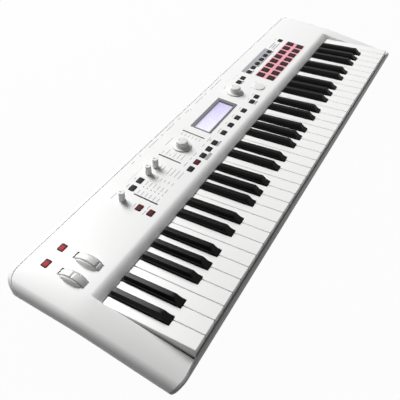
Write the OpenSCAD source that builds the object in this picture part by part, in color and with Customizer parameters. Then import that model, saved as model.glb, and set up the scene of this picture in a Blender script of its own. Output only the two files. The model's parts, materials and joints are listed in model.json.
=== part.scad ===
// Sixty-one-key synthesizer, in millimetres.
// +X runs from the bass end to the treble end, +Y from the player to the back, +Z up.
// The origin is the centre of the footprint on the table.

/* [Case] */
// Width over the rounded ends
body_w = 935; // [920:1:980]
// Depth from the front rail to the rear cover
body_d = 269; // [266:0.5:290]
// Height of the white key tops above the table
key_top_z = 55; // [54:0.5:65]
// Height of the panel's front edge line above the white key tops
panel_rise = 10.2; // [9.6:0.1:14]
// Slope of the control panel
panel_tilt = 5.7; // [4.5:0.1:6.5]
// Slope of the two end cheeks beside the keys
cheek_tilt = 10.3; // [9.6:0.1:10.9]
// Wall of the case mouldings
wall = 2.6; // [2.2:0.1:3]
// Crown radius across the ends
crown_r = 220; // [180:5:400]
// Width of the crowned part of each end, up to the rounded edge
crown_w = 30.2; // [28:0.2:30.2]
// Radius of the rounded end edges
nose_r = 13; // [12:0.5:14]
// Plan radius of the rear corners
corner_r = 27; // [22:1:32]
// Plan radius of the sweep that leads the front edge into its corners
front_sweep_r = 36; // [30:1:50]
// Turn of that sweep, before the tighter corner takes over
front_sweep = 30; // [20:1:45]
// Plan radius of the tight part of the front corners
front_corner_r = 8; // [5:0.5:14]
// Depth of the rear cover behind the seam
cover_d = 7.5; // [6.8:0.1:9]
// Open seam between the panel and the rear cover
seam_gap = 0.8; // [0.5:0.1:1.2]
// Thickness of the front rail
rail_t = 2.2; // [1.8:0.1:3]
// Distance of the rail's top edge below the white key tops
rail_drop = 13.5; // [12:0.5:16]
// Height of the rail's upright face
rail_face = 10; // [8:0.5:13]
// Radius of the rounded lip over the keys
lip_r = 16; // [13:0.5:18]
// Turn of the rounded lip
lip_turn = 53; // [45:1:58]
// Height of the rubber feet
foot_h = 5; // [3:0.5:7]
// Radius of the rubber feet
foot_r = 10; // [7:0.5:14]

/* [Keys] */
// Spacing of the white keys
key_pitch = 23.5; // [23:0.05:23.6]
// Gap between neighbouring keys
key_gap = 1; // [0.8:0.1:1.3]
// White key height at its sides
key_h = 14; // [12:0.5:15]
// Length of a white key in front of the sharps
head_len = 45.5; // [43:0.5:50]
// Length of a white key under daylight, up to the lip
key_show = 136.9; // [130:0.5:140]
// Key wall
key_wall = 1.8; // [1.5:0.1:2.2]
// Sharp's width at its foot
sharp_w = 13; // [12:0.1:13.4]
// Sharp's width at its top
sharp_top_w = 7.2; // [6:0.1:9]
// Sharp's height above the white keys, at the front of its top
sharp_h = 10.6; // [9.5:0.1:12]
// Sharp's height above the white keys, at the rear of its top
sharp_rear_h = 8.9; // [8:0.1:10.5]
// Height of the sharp's upright sides, before they lean in
sharp_side_h = 4.4; // [3:0.1:6]
// Length of the sharp's leaning front
sharp_lean = 11; // [8:0.5:13]
// Travel at the front of a white key
key_dip = 10; // [8:0.5:10.5]

/* [Panel controls] */
// Button width along the panel
button_w = 13; // [11:0.5:14]
// Button depth across the panel
button_d = 9.2; // [7.5:0.1:10]
// Height of a button above the panel
button_proud = 1.6; // [1:0.1:2.5]
// Pad width along the panel
pad_w = 17.8; // [16:0.1:18.6]
// Pad depth across the panel
pad_d = 16.4; // [15:0.1:17.4]
// Pad spacing along the panel
pad_pitch = 22.3; // [21.8:0.1:22.8]
// Pad spacing across the panel
pad_row_pitch = 22.7; // [22:0.1:23]
// Knob radius at its foot
knob_r = 5.1; // [4.5:0.1:6]
// Knob height above the panel
knob_h = 16; // [12:0.5:17]
// Dial radius at its flange
dial_r = 16; // [13:0.5:17]
// Dial height above the panel
dial_h = 12.5; // [10:0.5:15]
// Cursor pad radius
cursor_r = 12; // [10:0.5:13]
// Display frame width
display_w = 106; // [100:1:112]
// Display frame depth
display_d = 41; // [38:0.5:43]
// Width of the display's clear opening
window_w = 95; // [88:1:96]
// Depth of the display's clear opening
window_d = 30.5; // [28:0.5:32]
// Wheel radius
wheel_r = 30; // [28:0.5:30]
// Wheel width
wheel_w = 10.4; // [9:0.1:11]
// Half the length of the wheel showing at panel level
wheel_show = 20.5; // [18:0.5:21]
// Spacing of the two wheels
wheel_pitch = 31.3; // [29:0.1:33]

/* [Fits] */
// Side clearance of a sliding cap in its hole
slide_gap = 0.3; // [0.25:0.05:0.45]
// Radial clearance of a running shaft
run_gap = 0.05; // [0.03:0.01:0.08]
// Travel of a button or pad
press = 0.7; // [0.4:0.1:0.9]

/* [Sockets] */
// Radius of a jack socket's bore
jack_bore_r = 3.25; // [3.2:0.01:3.4]
// Radius of a MIDI socket's bore
midi_bore_r = 6.9; // [6.6:0.1:7.2]
// Radius of the power inlet's bore
inlet_bore_r = 2.85; // [2.5:0.05:3.2]

/* [Hidden] */
$fn = 48;
eps = 0.01;
far = 2000;
octaves = 5;
white_count = 7 * octaves + 1;

// Case
half_w = body_w / 2;
front_y = -body_d / 2;
rear_y = body_d / 2;
shell_front_y = front_y + rail_t;
front_gap = 0.8;
seam_y = rear_y - cover_d;
keybed_half = white_count * key_pitch / 2;
cheek_gap = 1.3;
cheek_x = keybed_half + cheek_gap;
case_z = foot_h;
floor_z = case_z + wall;

// Panel frame: the line where the lip's curve meets the flat panel
lip_y = shell_front_y + front_gap + key_show + lip_r * sin(lip_turn) * cos(panel_tilt)
    - lip_r * (1 - cos(lip_turn)) * sin(panel_tilt);
lip_z = key_top_z + panel_rise;
panel_len = (seam_y - lip_y) / cos(panel_tilt);

// End section: a crown arc that runs into a rounded nose
crown_a = asin(crown_w / (crown_r - nose_r));
nose_x = half_w - nose_r;
crown_x = nose_x - crown_w;
nose_z = (crown_r - nose_r) * cos(crown_a) - crown_r;
shell_depth = nose_r - nose_z;
rim_x = nose_x - 7;
tub_x = rim_x + 3;
tub_taper = 12;
undercut_z = key_top_z - rail_drop - rail_face;
undercut_y = front_y;

// Keys
white_front = shell_front_y + front_gap;
sharp_front = white_front + head_len + key_gap;
tail_end = lip_y - 2.5;
strip_y = tail_end + 0.6;
hinge_y = strip_y + 5.4;
strip_t = 2.8;
strip_gap = 0.6;
strip_z = key_top_z - 11;
hinge_z = key_top_z - 6.2;
key_bottom = key_top_z - key_h;
key_skirt = 1.2;
key_angle = atan(key_dip / (hinge_y - white_front));
sharp_bottom = key_top_z - 12;
sharp_foot_h = 1;
sharp_tail_h = 1.6;
lip_edge_y = white_front + key_show;
sharp_rear = lip_edge_y - 3.6;
sharp_heel = lip_edge_y - 1.5;
sharp_places = [[1, -0.09], [2, 0.09], [4, -0.12], [5, 0], [6, 0.12]];
sharp_room = sharp_w / 2 + key_gap;

// Key frame
frame_z = key_top_z - 35;
frame_t = 2.5;
frame_end = hinge_y + 2;
frame_front = undercut_y + undercut_z - frame_z + wall + 0.4;
riser_y = tail_end + 1.2;
ledge_y = white_front + 16;
ledge_w = 14;
ledge_z = key_top_z - 26.4;
board_t = 1.6;
contact_z = frame_z + 5;
felt_top = key_bottom - (hinge_y - ledge_y - 2) * tan(key_angle) - 0.4;
dome_y = white_front + 100;
dome_w = 12;
contact_w = 52;
dome_h = 10;

// Panel stack, as depths below the panel face
board_h = 8;
board_edge = 14.5;
switch_h = 2.4;
cap_flange = 1;
cap_flange_t = 1.4;
cap_under = wall + slide_gap + cap_flange_t;
cap_stem = 0.5;
pot_top = wall + 0.6;
shaft_r = 3;
shaft_end = board_h - 0.6;
lift = 0.5;

// Rows across the panel, from the lip line
front_t = 17.6;
pad_t = 21.4;
cursor_t = 28.6;
rhythm_t = 37.9;
wheel_t = 37.5;
display_t = 56.7;
dial_t = 59.8;
knob_t = 68.8;
back_t = 69.5;
octave_back = 1.15;
octave_t = (wheel_t + wheel_show + panel_len) / 2 - octave_back;
led_t = 22.9;
led_pitch = 7.05;
led_n = 6;
led_x = -227;
led_r = 1;

// Places along the panel
wheel_inset = 52;
wheel_x = wheel_inset - half_w;
knob_x = [-267.5, -197.5, -177.7];
dial_x = [-110.2, 87.5];
cursor_x = 131.5;
write_x = 332.4;
display_x = -0.8;
window_x = display_x - 2.2;
window_t = display_t - 1.5;
pad_x = 175.2;
pads = 8;
wheel_h = -sqrt(wheel_r * wheel_r - wheel_show * wheel_show);
wheel_y = lip_y + wheel_t * cos(panel_tilt) - wheel_h * sin(panel_tilt);
wheel_z = lip_z + wheel_t * sin(panel_tilt) + wheel_h * cos(panel_tilt);
wheel_gap = 0.45;
fairing_wall = 1.9;
fairing_drop = 1.3;
axle_r = 3;
bracket_t = 2;

// Light frame round the pads
pad_rim = 2.4;
glow_w = (pads - 1) * pad_pitch + pad_w + 2 * pad_rim;
glow_d = pad_row_pitch + pad_d + 2 * pad_rim;
glow_x = pad_x + (pads - 1) * pad_pitch / 2;
glow_t = pad_t + pad_row_pitch / 2;
glow_flange_t = 1.2;
pad_under = wall + glow_flange_t + slide_gap + cap_flange_t;

// Button rows: name, first x, spacing, count, place across, colour
dark = "#2a2a2c";
lit = "#b02830";
button_rows = [
    ["octave_down_button", wheel_x - 0.1, 0, 1, octave_t, lit],
    ["octave_up_button", wheel_x + wheel_pitch - 0.1, 0, 1, octave_t, lit],
    ["select_buttons", -238.2, 20, 2, back_t, dark],
    ["arpeggio_button", -267, 0, 1, rhythm_t, lit],
    ["rhythm_button", -267, 0, 1, front_t, lit],
    ["menu_buttons", -152, 20.1, 5, front_t, dark],
    ["function_buttons", -38.2, 26.6, 4, front_t, dark],
    ["page_buttons", 76.7, 20, 2, front_t, dark],
    ["exit_buttons", 124.1, 18, 2, back_t, dark],
    ["bank_buttons", 170.7, 20.25, 6, back_t, dark],
    ["write_button", write_x, 0, 1, back_t, dark]
];
button_places = [for (b = button_rows) for (i = [0 : b[3] - 1]) [b[1] + i * b[2], b[4]]];
knob_rows = [
    ["volume_knob", knob_x[0], knob_t],
    ["tone_knob", knob_x[1], knob_t],
    ["value_knob", knob_x[2], knob_t]
];
dial_rows = [["mode_dial", dial_x[0], dial_t], ["value_dial", dial_x[1], dial_t]];
pad_rows = [["front_pads", 0], ["back_pads", 1]];
wheel_rows = [["pitch_wheel", 0, 0], ["mod_wheel", 1, 30]];
post_places = [for (x = [knob_x[0] - 10.5, -164, -58, 62, 156, glow_x + glow_w / 2 + 7.4])
    for (t = [front_t - 7.6, back_t + 8.5]) [x, t]];

// Rear sockets
power_inset = 82.5;
power_x = half_w - power_inset;
socket_seat = rear_y - wall;
jack_len = 26;
jack_w = 14;
bush_wall = 1.25;
socket_top = 0.1;
jack_top = jack_bore_r + bush_wall + socket_top;
board_clear = 0.6;
socket_z = lip_z + (rear_y - jack_len - lip_y) * tan(panel_tilt)
    - (board_h + board_t) / cos(panel_tilt) - jack_top - board_clear;
jack_board_z = rim_z(rear_y) + wall + board_clear / 2;
jack_x = [for (d = [85, 115, 160, 205]) power_x - d];
midi_x = [for (d = [295, 325]) power_x - d];
midi_len = 9;
usb_x = power_x - 365;
usb_w = 12.6;
usb_h = 5.2;
usb_len = 12;
inlet_x = power_x - 40;
inlet_len = 10;
power_w = 12;
power_h = 8;
power_press = 1.2;

// Under the case
foot_inset = 67.5;
foot_places = [for (x = [foot_inset - half_w, 0, half_w - foot_inset]) for (y = [front_y + 42, rear_y - 32]) [x, y]];
post_inset = 33;
post_xy = [for (x = [post_inset - keybed_half, -keybed_half / 3, keybed_half / 3, keybed_half - post_inset]) for (y = [white_front + 70, white_front + 136]) [x, y]];
screw_r = 1.6;
screw_head_r = 3.4;
screw_head_h = 1.8;
screw_len = 12;
post_r = 5;
main_x = [-40, 190];
main_inset = 17;
main_edge = 10;
main_y = [frame_end + main_inset, socket_seat - jack_len - post_r - main_edge - 1];
main_z = floor_z + 6;
jack_posts = [for (d = [-385, -265, -65, 15]) power_x + d];

// Shared shapes

// Half outline of the case across its ends, from the crown to the foot of the nose
function section_half(inset) = concat(
    [for (i = [0 : 4]) let (a = crown_a * i / 5)
        [crown_x + (crown_r - inset) * sin(a), (crown_r - inset) * cos(a) - crown_r]],
    [for (i = [0 : 22]) let (a = crown_a + (180 - crown_a) * i / 22)
        [nose_x + (nose_r - inset) * sin(a), nose_z + (nose_r - inset) * cos(a)]]
);

// Points of one half followed by the mirrored half
function both_halves(half) = concat(
    half,
    [for (i = [len(half) - 1 : -1 : 0]) [-half[i][0], half[i][1]]]
);

// Extrudes a section in X and Z along the panel's or the cheek's slope, behind or before the lip line
module sloped(points, tilt, behind) {
    intersection() {
        translate([0, lip_y, lip_z])
            rotate([tilt, 0, 0])
                rotate([90, 0, 0])
                    linear_extrude(2 * body_d, center = true)
                        polygon([for (p = points) [p[0], p[1] * cos(tilt)]]);
        translate([-far / 2, behind ? lip_y : lip_y - far, -far / 2]) cube(far);
    }
}

// A section carried along the whole side profile
module swept(points) {
    sloped(points, panel_tilt, true);
    sloped(points, cheek_tilt, false);
}

// Points of an arc round a centre, every 5 degrees or less
function arc(centre, r, from, to) = let (n = ceil((to - from) / 5))
    [for (i = [0 : n]) let (a = from + (to - from) * i / n) centre + r * [cos(a), sin(a)]];

// Plan outline: round rear corners, and front corners that sweep back before they turn tightly
module plan(front, rear, side) {
    r = corner_r;
    tip = front_corner_r;
    ahead = front_sweep_r - tip;
    sweep_x = side - tip - ahead * sin(front_sweep);
    tip_y = front + front_sweep_r - ahead * cos(front_sweep);
    polygon(concat(
        arc([side - r, rear - r], r, 0, 90),
        arc([r - side, rear - r], r, 90, 180),
        arc([tip - side, tip_y], tip, 180, 270 - front_sweep),
        arc([-sweep_x, front + front_sweep_r], front_sweep_r, 270 - front_sweep, 270),
        arc([sweep_x, front + front_sweep_r], front_sweep_r, 270, 270 + front_sweep),
        arc([side - tip, tip_y], tip, 270 + front_sweep, 360)
    ));
}

// An upright prism of the plan outline
module plan_prism(front, rear, side) {
    translate([0, 0, -far / 2]) linear_extrude(far) plan(front, rear, side);
}

// A profile in Y and Z, extruded across the given half width
module across(points, half) {
    translate([-half, 0, 0])
        rotate([90, 0, 90])
            linear_extrude(2 * half)
                polygon(points);
}

// Panel coordinates: x along, y across from the lip line, z out of the panel face
module on_panel() {
    translate([0, lip_y, lip_z]) rotate([panel_tilt, 0, 0]) children();
}

// A block that is centred in x and y, between two heights
module block(size, z0, z1) {
    translate([-size[0] / 2, -size[1] / 2, z0]) cube([size[0], size[1], z1 - z0]);
}

// The wedge that is cut away under the front edge, raised by a given amount
module undercut(raise = 0) {
    top = undercut_z + raise;
    across([[front_y - 40, top + 40], [front_y - 40, -40], [undercut_y + top + 40, -40]], far / 2);
}

// Upright bay between the cheeks, where the keys lie
module key_bay() {
    across([[front_y, -far / 4], [lip_y, -far / 4], [lip_y, far / 4], [front_y, far / 4]], cheek_x);
}

// Space under the sloped case rim, used for the tub
function rim_z(y) = lip_z - shell_depth
    + (y > lip_y ? (y - lip_y) * tan(panel_tilt) : (y - lip_y) * tan(cheek_tilt));

// Case

// Everything within the outer skin, less an even wall
module case_body(inset) {
    intersection() {
        swept(both_halves(section_half(inset)));
        plan_prism(shell_front_y + inset, inset > 0 ? rear_y + 60 : seam_y + corner_r * 2, half_w - inset);
    }
}

// The skin's plan stops at the seam, with the same rounded corners as the rear cover
module before_seam() {
    plan_prism(front_y - 60, seam_y, half_w);
}

// Curved wall over the keys
module lip() {
    outer = [for (i = [0 : 10]) let (a = lip_turn * i / 10) [-lip_r * sin(a), lip_r * cos(a) - lip_r]];
    inner = [for (i = [10 : -1 : 0]) let (a = lip_turn * i / 10)
        [-(lip_r - wall) * sin(a), (lip_r - wall) * cos(a) - lip_r]];
    on_panel() across(concat([[wall, 0]], outer, inner, [[wall, -wall]]), cheek_x + eps);
}

// Arched fairing over one wheel's slot
module fairing(x) {
    intersection() {
        on_panel()
            translate([x, wheel_t, wheel_h])
                rotate([0, 90, 0])
                    cylinder(h = wheel_w + 2 * (wheel_gap + fairing_wall), r = wheel_r - fairing_drop,
                        center = true, $fn = 96);
        on_panel() translate([x - 30, 0, -wall / 2]) cube([60, 100, 60]);
    }
}

// Openings in the panel face
module panel_holes() {
    on_panel() {
        for (p = button_places)
            translate([p[0], p[1], 0])
                block([button_w + 2 * slide_gap, button_d + 2 * slide_gap], -20, 20);
        for (k = concat(knob_rows, dial_rows))
            translate([k[1], k[2], -20]) cylinder(h = 40, r = shaft_r + slide_gap);
        translate([cursor_x, cursor_t, -20]) cylinder(h = 40, r = cursor_r + slide_gap);
        translate([display_x, display_t, 0]) block([display_w - 3, display_d - 3], -20, 20);
        translate([glow_x, glow_t, 0]) block([glow_w, glow_d], -20, 20);
        for (i = [0 : led_n - 1])
            translate([led_x, led_t + i * led_pitch, -20]) cylinder(h = 40, r = led_r + 0.1);
        for (w = wheel_rows)
            translate([wheel_x + w[1] * wheel_pitch, wheel_t, wheel_h])
                rotate([0, 90, 0])
                    cylinder(h = wheel_w + 2 * wheel_gap, r = wheel_r + wheel_gap, center = true, $fn = 96);
    }
}

module upper_case() {
    color("#f2f2f0")
    difference() {
        union() {
            difference() {
                intersection() {
                    case_body(0);
                    before_seam();
                }
                case_body(wall);
                key_bay();
                swept([[rim_x, nose_z], [rim_x, -far / 4], [-rim_x, -far / 4], [-rim_x, nose_z]]);
            }
            for (s = [-1, 1])
                intersection() {
                    case_body(0);
                    translate([s > 0 ? cheek_x : -cheek_x - wall, shell_front_y, 0])
                        cube([wall, lip_y + wall - shell_front_y, far]);
                }
            difference() {
                intersection() {
                    case_body(0);
                    undercut(wall * sqrt(2));
                }
                key_bay();
            }
            lip();
            for (w = wheel_rows) fairing(wheel_x + w[1] * wheel_pitch);
            on_panel()
                for (p = post_places)
                    translate([p[0], p[1], -board_h]) cylinder(h = board_h - wall / 2, r = 3);
        }
        panel_holes();
        undercut();
    }
}

module front_rail() {
    color("#5c5e60")
    difference() {
        union() {
            intersection() {
                sloped(both_halves(section_half(0)), cheek_tilt, false);
                difference() {
                    plan_prism(front_y, rear_y, half_w);
                    plan_prism(shell_front_y, rear_y + rail_t, half_w);
                }
            }
            translate([-cheek_x, front_y, undercut_z - 10])
                cube([2 * cheek_x, rail_t, key_top_z - rail_drop - undercut_z + 10]);
        }
        undercut();
    }
}

module rear_cover() {
    color("#ececea")
    difference() {
        intersection() {
            sloped(both_halves(section_half(0)), panel_tilt, true);
            difference() {
                plan_prism(front_y, rear_y, half_w);
                plan_prism(front_y - cover_d, seam_y + seam_gap, half_w + eps);
            }
        }
        intersection() {
            sloped(both_halves(section_half(wall)), panel_tilt, true);
            plan_prism(front_y, rear_y - wall, half_w - wall);
        }
        for (x = jack_x) rear_hole(x, jack_bore_r + bush_wall + run_gap);
        for (x = midi_x) rear_hole(x, midi_bore_r + bush_wall + run_gap);
        rear_hole(inlet_x, inlet_bore_r + bush_wall + run_gap);
        translate([usb_x, rear_y, socket_z]) rotate([90, 0, 0]) block([usb_w + 1, usb_h + 1], -20, 20);
        translate([power_x, rear_y, socket_z]) rotate([90, 0, 0])
            block([power_w + 2 * slide_gap, power_h + 2 * slide_gap], -20, 20);
    }
}

// A round hole through the rear wall
module rear_hole(x, r) {
    translate([x, rear_y + 10, socket_z]) rotate([90, 0, 0]) cylinder(h = 10 + wall + 2, r = r);
}

// Side profile of the tub, drawn in by the wall
function tub_profile(inset, top) = [
    [undercut_z + undercut_y - case_z + inset, case_z + inset],
    [seam_y - inset, case_z + inset],
    [seam_y - inset, rim_z(seam_y) + top],
    [lip_y, rim_z(lip_y) + top],
    [tub_lip_y, rim_z(tub_lip_y) + top]
];
// The tub's front edge stays behind the rail and below the pressed keys
tub_edge_z = min(undercut_z - rail_t, key_bottom - key_skirt - key_dip - 0.5);
tub_edge_y = undercut_y + undercut_z - tub_edge_z;
tub_lip_y = (undercut_z + undercut_y - lip_z + shell_depth + lip_y * tan(cheek_tilt)) / (1 + tan(cheek_tilt));

module tub(inset, top) {
    side = tub_x - inset;
    intersection() {
        across(tub_profile(inset, top), side);
        translate([0, far / 2, 0])
            rotate([90, 0, 0])
                linear_extrude(far)
                    polygon([[side, far / 4], [side, case_z + 40], [side - tub_taper, case_z - 1],
                        [tub_taper - side, case_z - 1], [-side, case_z + 40], [-side, far / 4]]);
    }
}

module lower_case() {
    color("#4a4c4e")
    difference() {
        union() {
            difference() {
                tub(0, 0);
                tub(wall, 60);
            }
            across([[tub_lip_y - eps, rim_z(tub_lip_y)], [tub_edge_y, tub_edge_z],
                [tub_edge_y + wall, tub_edge_z], [tub_lip_y + 2 * wall, case_z + 1.5 * wall]],
                cheek_x - slide_gap);
            for (p = post_xy) translate([p[0], p[1], case_z + eps]) cylinder(h = frame_z - case_z - eps, r = post_r);
            for (x = jack_posts)
                translate([x, socket_seat - jack_len, case_z + eps])
                    cylinder(h = jack_board_z - board_t - case_z - eps, r = post_r);
            for (x = main_x) for (y = main_y)
                translate([x, y, case_z + eps]) cylinder(h = main_z - case_z - eps, r = post_r);
        }
        for (p = post_xy)
            translate([p[0], p[1], case_z - 1]) {
                cylinder(h = screw_len + 1 + eps, r = screw_r + run_gap);
                cylinder(h = screw_head_h + 1.2, r = screw_head_r + 0.2);
            }
    }
}

module rubber_feet() {
    color("#202022")
    for (p = foot_places) translate([p[0], p[1], 0]) cylinder(h = foot_h, r1 = foot_r - 0.8, r2 = foot_r);
}

module case_screws() {
    color("#8c8c8e")
    for (p = post_xy)
        translate([p[0], p[1], case_z + 0.2]) {
            difference() {
                cylinder(h = screw_head_h, r = screw_head_r);
                translate([0, 0, -eps]) cylinder(h = 1, r = 1.5, $fn = 6);
            }
            cylinder(h = screw_len - 0.4, r = screw_r);
        }
}

// Keyboard

module key_frame() {
    color("#9a9c9e")
    across([
        [frame_front, frame_z], [frame_end, frame_z],
        [frame_end, strip_z - strip_gap], [riser_y, strip_z - strip_gap], [riser_y, contact_z],
        [dome_y - 30, contact_z], [dome_y - 30, frame_z + frame_t],
        [ledge_y + ledge_w, frame_z + frame_t], [ledge_y + ledge_w, ledge_z],
        [ledge_y, ledge_z], [ledge_y, frame_z + frame_t], [frame_front, frame_z + frame_t]
    ], keybed_half);
}

module key_felts() {
    color("#a03038")
    translate([-keybed_half + 2, ledge_y + 2, ledge_z])
        cube([2 * keybed_half - 4, ledge_w - 4, felt_top - ledge_z]);
}

module contact_board() {
    color("#2f6b3c")
    translate([-keybed_half + 3, dome_y - contact_w / 2, contact_z])
        cube([2 * keybed_half - 6, contact_w, board_t]);
}

module contact_rubber() {
    color("#c8c4bc")
    translate([-keybed_half + 6, dome_y - dome_w / 2, contact_z + board_t]) {
        cube([2 * keybed_half - 12, dome_w, 2]);
        for (i = [0 : white_count - 1])
            translate([key_pitch * (i + 0.5) - 6, dome_w / 2, 0]) cylinder(h = dome_h, r1 = 5, r2 = 3.5);
    }
}

// Where a sharp sits at a white key boundary, or undef
function sharp_at(b) = let (s = [for (p = sharp_places) if (p[0] == b) (b + p[1]) * key_pitch]) s[0];

// Left and right edges of a white key's tail
function tail_left(i) = is_undef(sharp_at(i)) ? i * key_pitch + key_gap / 2 : sharp_at(i) + sharp_room;
function tail_right(i) =
    is_undef(sharp_at(i + 1)) ? (i + 1) * key_pitch - key_gap / 2 : sharp_at(i + 1) - sharp_room;

// White key in plan, drawn in by an even wall
function key_plan(left, right, tail0, tail1, inset) = [
    [left + inset, white_front + inset], [right - inset, white_front + inset],
    [right - inset, sharp_front - key_gap - inset], [tail1 - inset, sharp_front - key_gap - inset],
    [tail1 - inset, tail_end - inset], [tail0 + inset, tail_end - inset],
    [tail0 + inset, sharp_front - key_gap - inset], [left + inset, sharp_front - key_gap - inset]
];

// Hollow white key with its edges at the given places
module white_key(left, right, tail0, tail1) {
    difference() {
        union() {
            translate([0, 0, key_bottom])
                linear_extrude(key_h) polygon(key_plan(left, right, tail0, tail1, 0));
            translate([left, white_front, key_bottom - key_skirt]) cube([right - left, key_wall, key_h]);
        }
        translate([0, 0, key_bottom - eps])
            linear_extrude(key_h - key_wall - 0.6) polygon(key_plan(left, right, tail0, tail1, key_wall));
    }
}

// Rear strip that carries one comb of keys, at its own level
module comb_strip(level, left, right) {
    translate([left, strip_y, strip_z + level * (strip_t + strip_gap)])
        cube([right - left, hinge_y - strip_y, strip_t]);
}

// Tongue from a key's tail to its strip
module comb_tongue(level, left, right) {
    translate([left + 1, tail_end - key_wall / 2, strip_z + level * (strip_t + strip_gap)])
        cube([right - left - 2, strip_y - tail_end + key_wall, strip_t]);
}

// One comb of white keys: places within the octave, counted from C
module white_comb(octave, places, level) {
    color("#f6f6f2")
    translate([octave * 7 * key_pitch - keybed_half, 0, 0]) {
        for (i = places) {
            white_key(i * key_pitch + key_gap / 2, (i + 1) * key_pitch - key_gap / 2, tail_left(i), tail_right(i));
            comb_tongue(level, tail_left(i), tail_right(i));
        }
        comb_strip(level, tail_left(places[0]), tail_right(places[len(places) - 1]));
    }
}

// Corners of a sharp's section at y: upright sides, then sides that lean in to the top
function sharp_section(y, side_h, top_h, top_w) = [
    for (s = [-1, 1]) each [
        [s * sharp_w / 2, y, sharp_bottom], [s * sharp_w / 2, y, key_top_z + side_h], [s * top_w / 2, y, key_top_z + top_h]
    ]
];

// The solid round all the given corners
module wrap(corners) {
    hull() polyhedron(corners, [[for (i = [0 : len(corners) - 1]) i]]);
}

module sharp() {
    difference() {
        union() {
            wrap(concat(
                sharp_section(sharp_front, 0, sharp_foot_h, sharp_w),
                sharp_section(sharp_front + sharp_lean, sharp_side_h, sharp_h, sharp_top_w),
                sharp_section(sharp_rear, sharp_side_h, sharp_rear_h, sharp_top_w),
                sharp_section(sharp_heel, 0, sharp_tail_h, sharp_w)
            ));
            across([[sharp_rear, sharp_bottom], [tail_end, sharp_bottom], [tail_end, key_top_z], [lip_y - 5, key_top_z],
                [lip_y - 13, key_top_z + sharp_tail_h], [sharp_rear, key_top_z + sharp_tail_h]], sharp_w / 2);
        }
        translate([-sharp_w / 2 + key_wall, sharp_front + 2 * key_wall, sharp_bottom - eps])
            cube([sharp_w - 2 * key_wall, tail_end - sharp_front - 4 * key_wall, 10]);
    }
}

module black_comb(octave) {
    color("#1c1c1e")
    translate([octave * 7 * key_pitch - keybed_half, 0, 0]) {
        for (p = sharp_places)
            translate([sharp_at(p[0]), 0, 0]) {
                sharp();
                comb_tongue(2, -sharp_w / 2, sharp_w / 2);
            }
        comb_strip(2, sharp_at(1) - sharp_w / 2, sharp_at(6) + sharp_w / 2);
    }
}

module top_c_key() {
    color("#f6f6f2")
    translate([octaves * 7 * key_pitch - keybed_half, 0, 0]) {
        white_key(key_gap / 2, key_pitch - key_gap / 2, key_gap / 2, key_pitch - key_gap / 2);
        comb_tongue(0, key_gap / 2, key_pitch - key_gap / 2);
        comb_strip(0, key_gap / 2, key_pitch - key_gap / 2);
    }
}

// Boards

module main_board() {
    color("#2f6b3c") {
        translate([main_x[0] - main_edge, main_y[0] - main_edge, main_z])
            cube([main_x[1] - main_x[0] + 2 * main_edge, main_y[1] - main_y[0] + 2 * main_edge, board_t]);
    }
    color("#232325")
    for (p = [[40, -6, 22, 20], [100, -6, 28, 20], [160, -6, 14, 20], [150, 17, 30, 12], [60, 17, 16, 12]])
        translate([main_x[0] + p[0], main_y[0] + p[1], main_z + board_t]) cube([p[2], p[3], 2.4]);
}

module panel_board() {
    color("#2f6b3c")
    on_panel() {
        translate([knob_x[0] - board_edge, front_t - board_edge + 3, -board_h - board_t])
            cube([glow_x + glow_w / 2 - knob_x[0] + 2 * board_edge, back_t - front_t + 2 * board_edge - 3, board_t]);
        translate([wheel_x - board_edge, octave_t - 3.6, -board_h - board_t])
            cube([wheel_pitch + 2 * board_edge, board_edge, board_t]);
    }
}

module panel_switches() {
    color("#37383a")
    on_panel() {
        for (p = concat(button_places, [[cursor_x, cursor_t]]))
            translate([p[0], p[1], 0]) block([6, 6], -board_h, switch_h - board_h);
    }
}

module pot_bodies() {
    color("#3a5a8c")
    on_panel()
        for (k = concat(knob_rows, dial_rows))
            translate([k[1], k[2], 0])
                difference() {
                    block([11, 12], -board_h, -pot_top);
                    translate([0, 0, -shaft_end]) cylinder(h = board_h, r = shaft_r + run_gap);
                }
}

module jack_board() {
    color("#2f6b3c")
    translate([jack_posts[0] - 12, socket_seat - jack_len - 6, jack_board_z - board_t])
        cube([jack_posts[len(jack_posts) - 1] - jack_posts[0] + 24, seam_y - socket_seat + jack_len + 6, board_t]);
}

// A socket body with a blind round bore and a bush that fills the rear wall's hole
module round_socket(x, bore, bush, size, depth) {
    translate([x, rear_y, socket_z])
        rotate([90, 0, 0])
            difference() {
                union() {
                    cylinder(h = wall + 1, r = bush);
                    translate([-size / 2, jack_board_z - socket_z, wall])
                        cube([size, socket_z - jack_board_z + bush + socket_top, depth + 3 - wall]);
                }
                translate([0, 0, -eps]) cylinder(h = depth + eps, r = bore);
            }
}

module rear_jacks() {
    color("#29292b") {
        for (x = jack_x) round_socket(x, jack_bore_r, jack_bore_r + bush_wall, jack_w, jack_len - 4);
        for (x = midi_x) round_socket(x, midi_bore_r, midi_bore_r + bush_wall, 17.6, midi_len);
        round_socket(inlet_x, inlet_bore_r, inlet_bore_r + bush_wall, 11, inlet_len);
        difference() {
            translate([usb_x, rear_y, socket_z])
                rotate([90, 0, 0])
                    union() {
                        block([usb_w + 0.8, usb_h + 0.8], 0, wall + 1);
                        translate([-usb_w / 2 - 1.5, jack_board_z - socket_z, wall])
                            cube([usb_w + 3, 14, usb_len]);
                    }
            translate([usb_x, rear_y + eps, socket_z]) rotate([90, 0, 0]) block([usb_w, usb_h], 0, usb_len);
        }
        translate([power_x - 6, socket_seat - 14, jack_board_z]) cube([12, 8, 14]);
    }
}

module power_button() {
    color("#3a3a3c")
    translate([power_x, rear_y, socket_z])
        rotate([90, 0, 0]) {
            block([power_w, power_h], 0, wall + slide_gap + 1.2);
            block([power_w + 2, power_h + 2], wall + slide_gap, wall + slide_gap + 1.4);
        }
}

// Display

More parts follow.
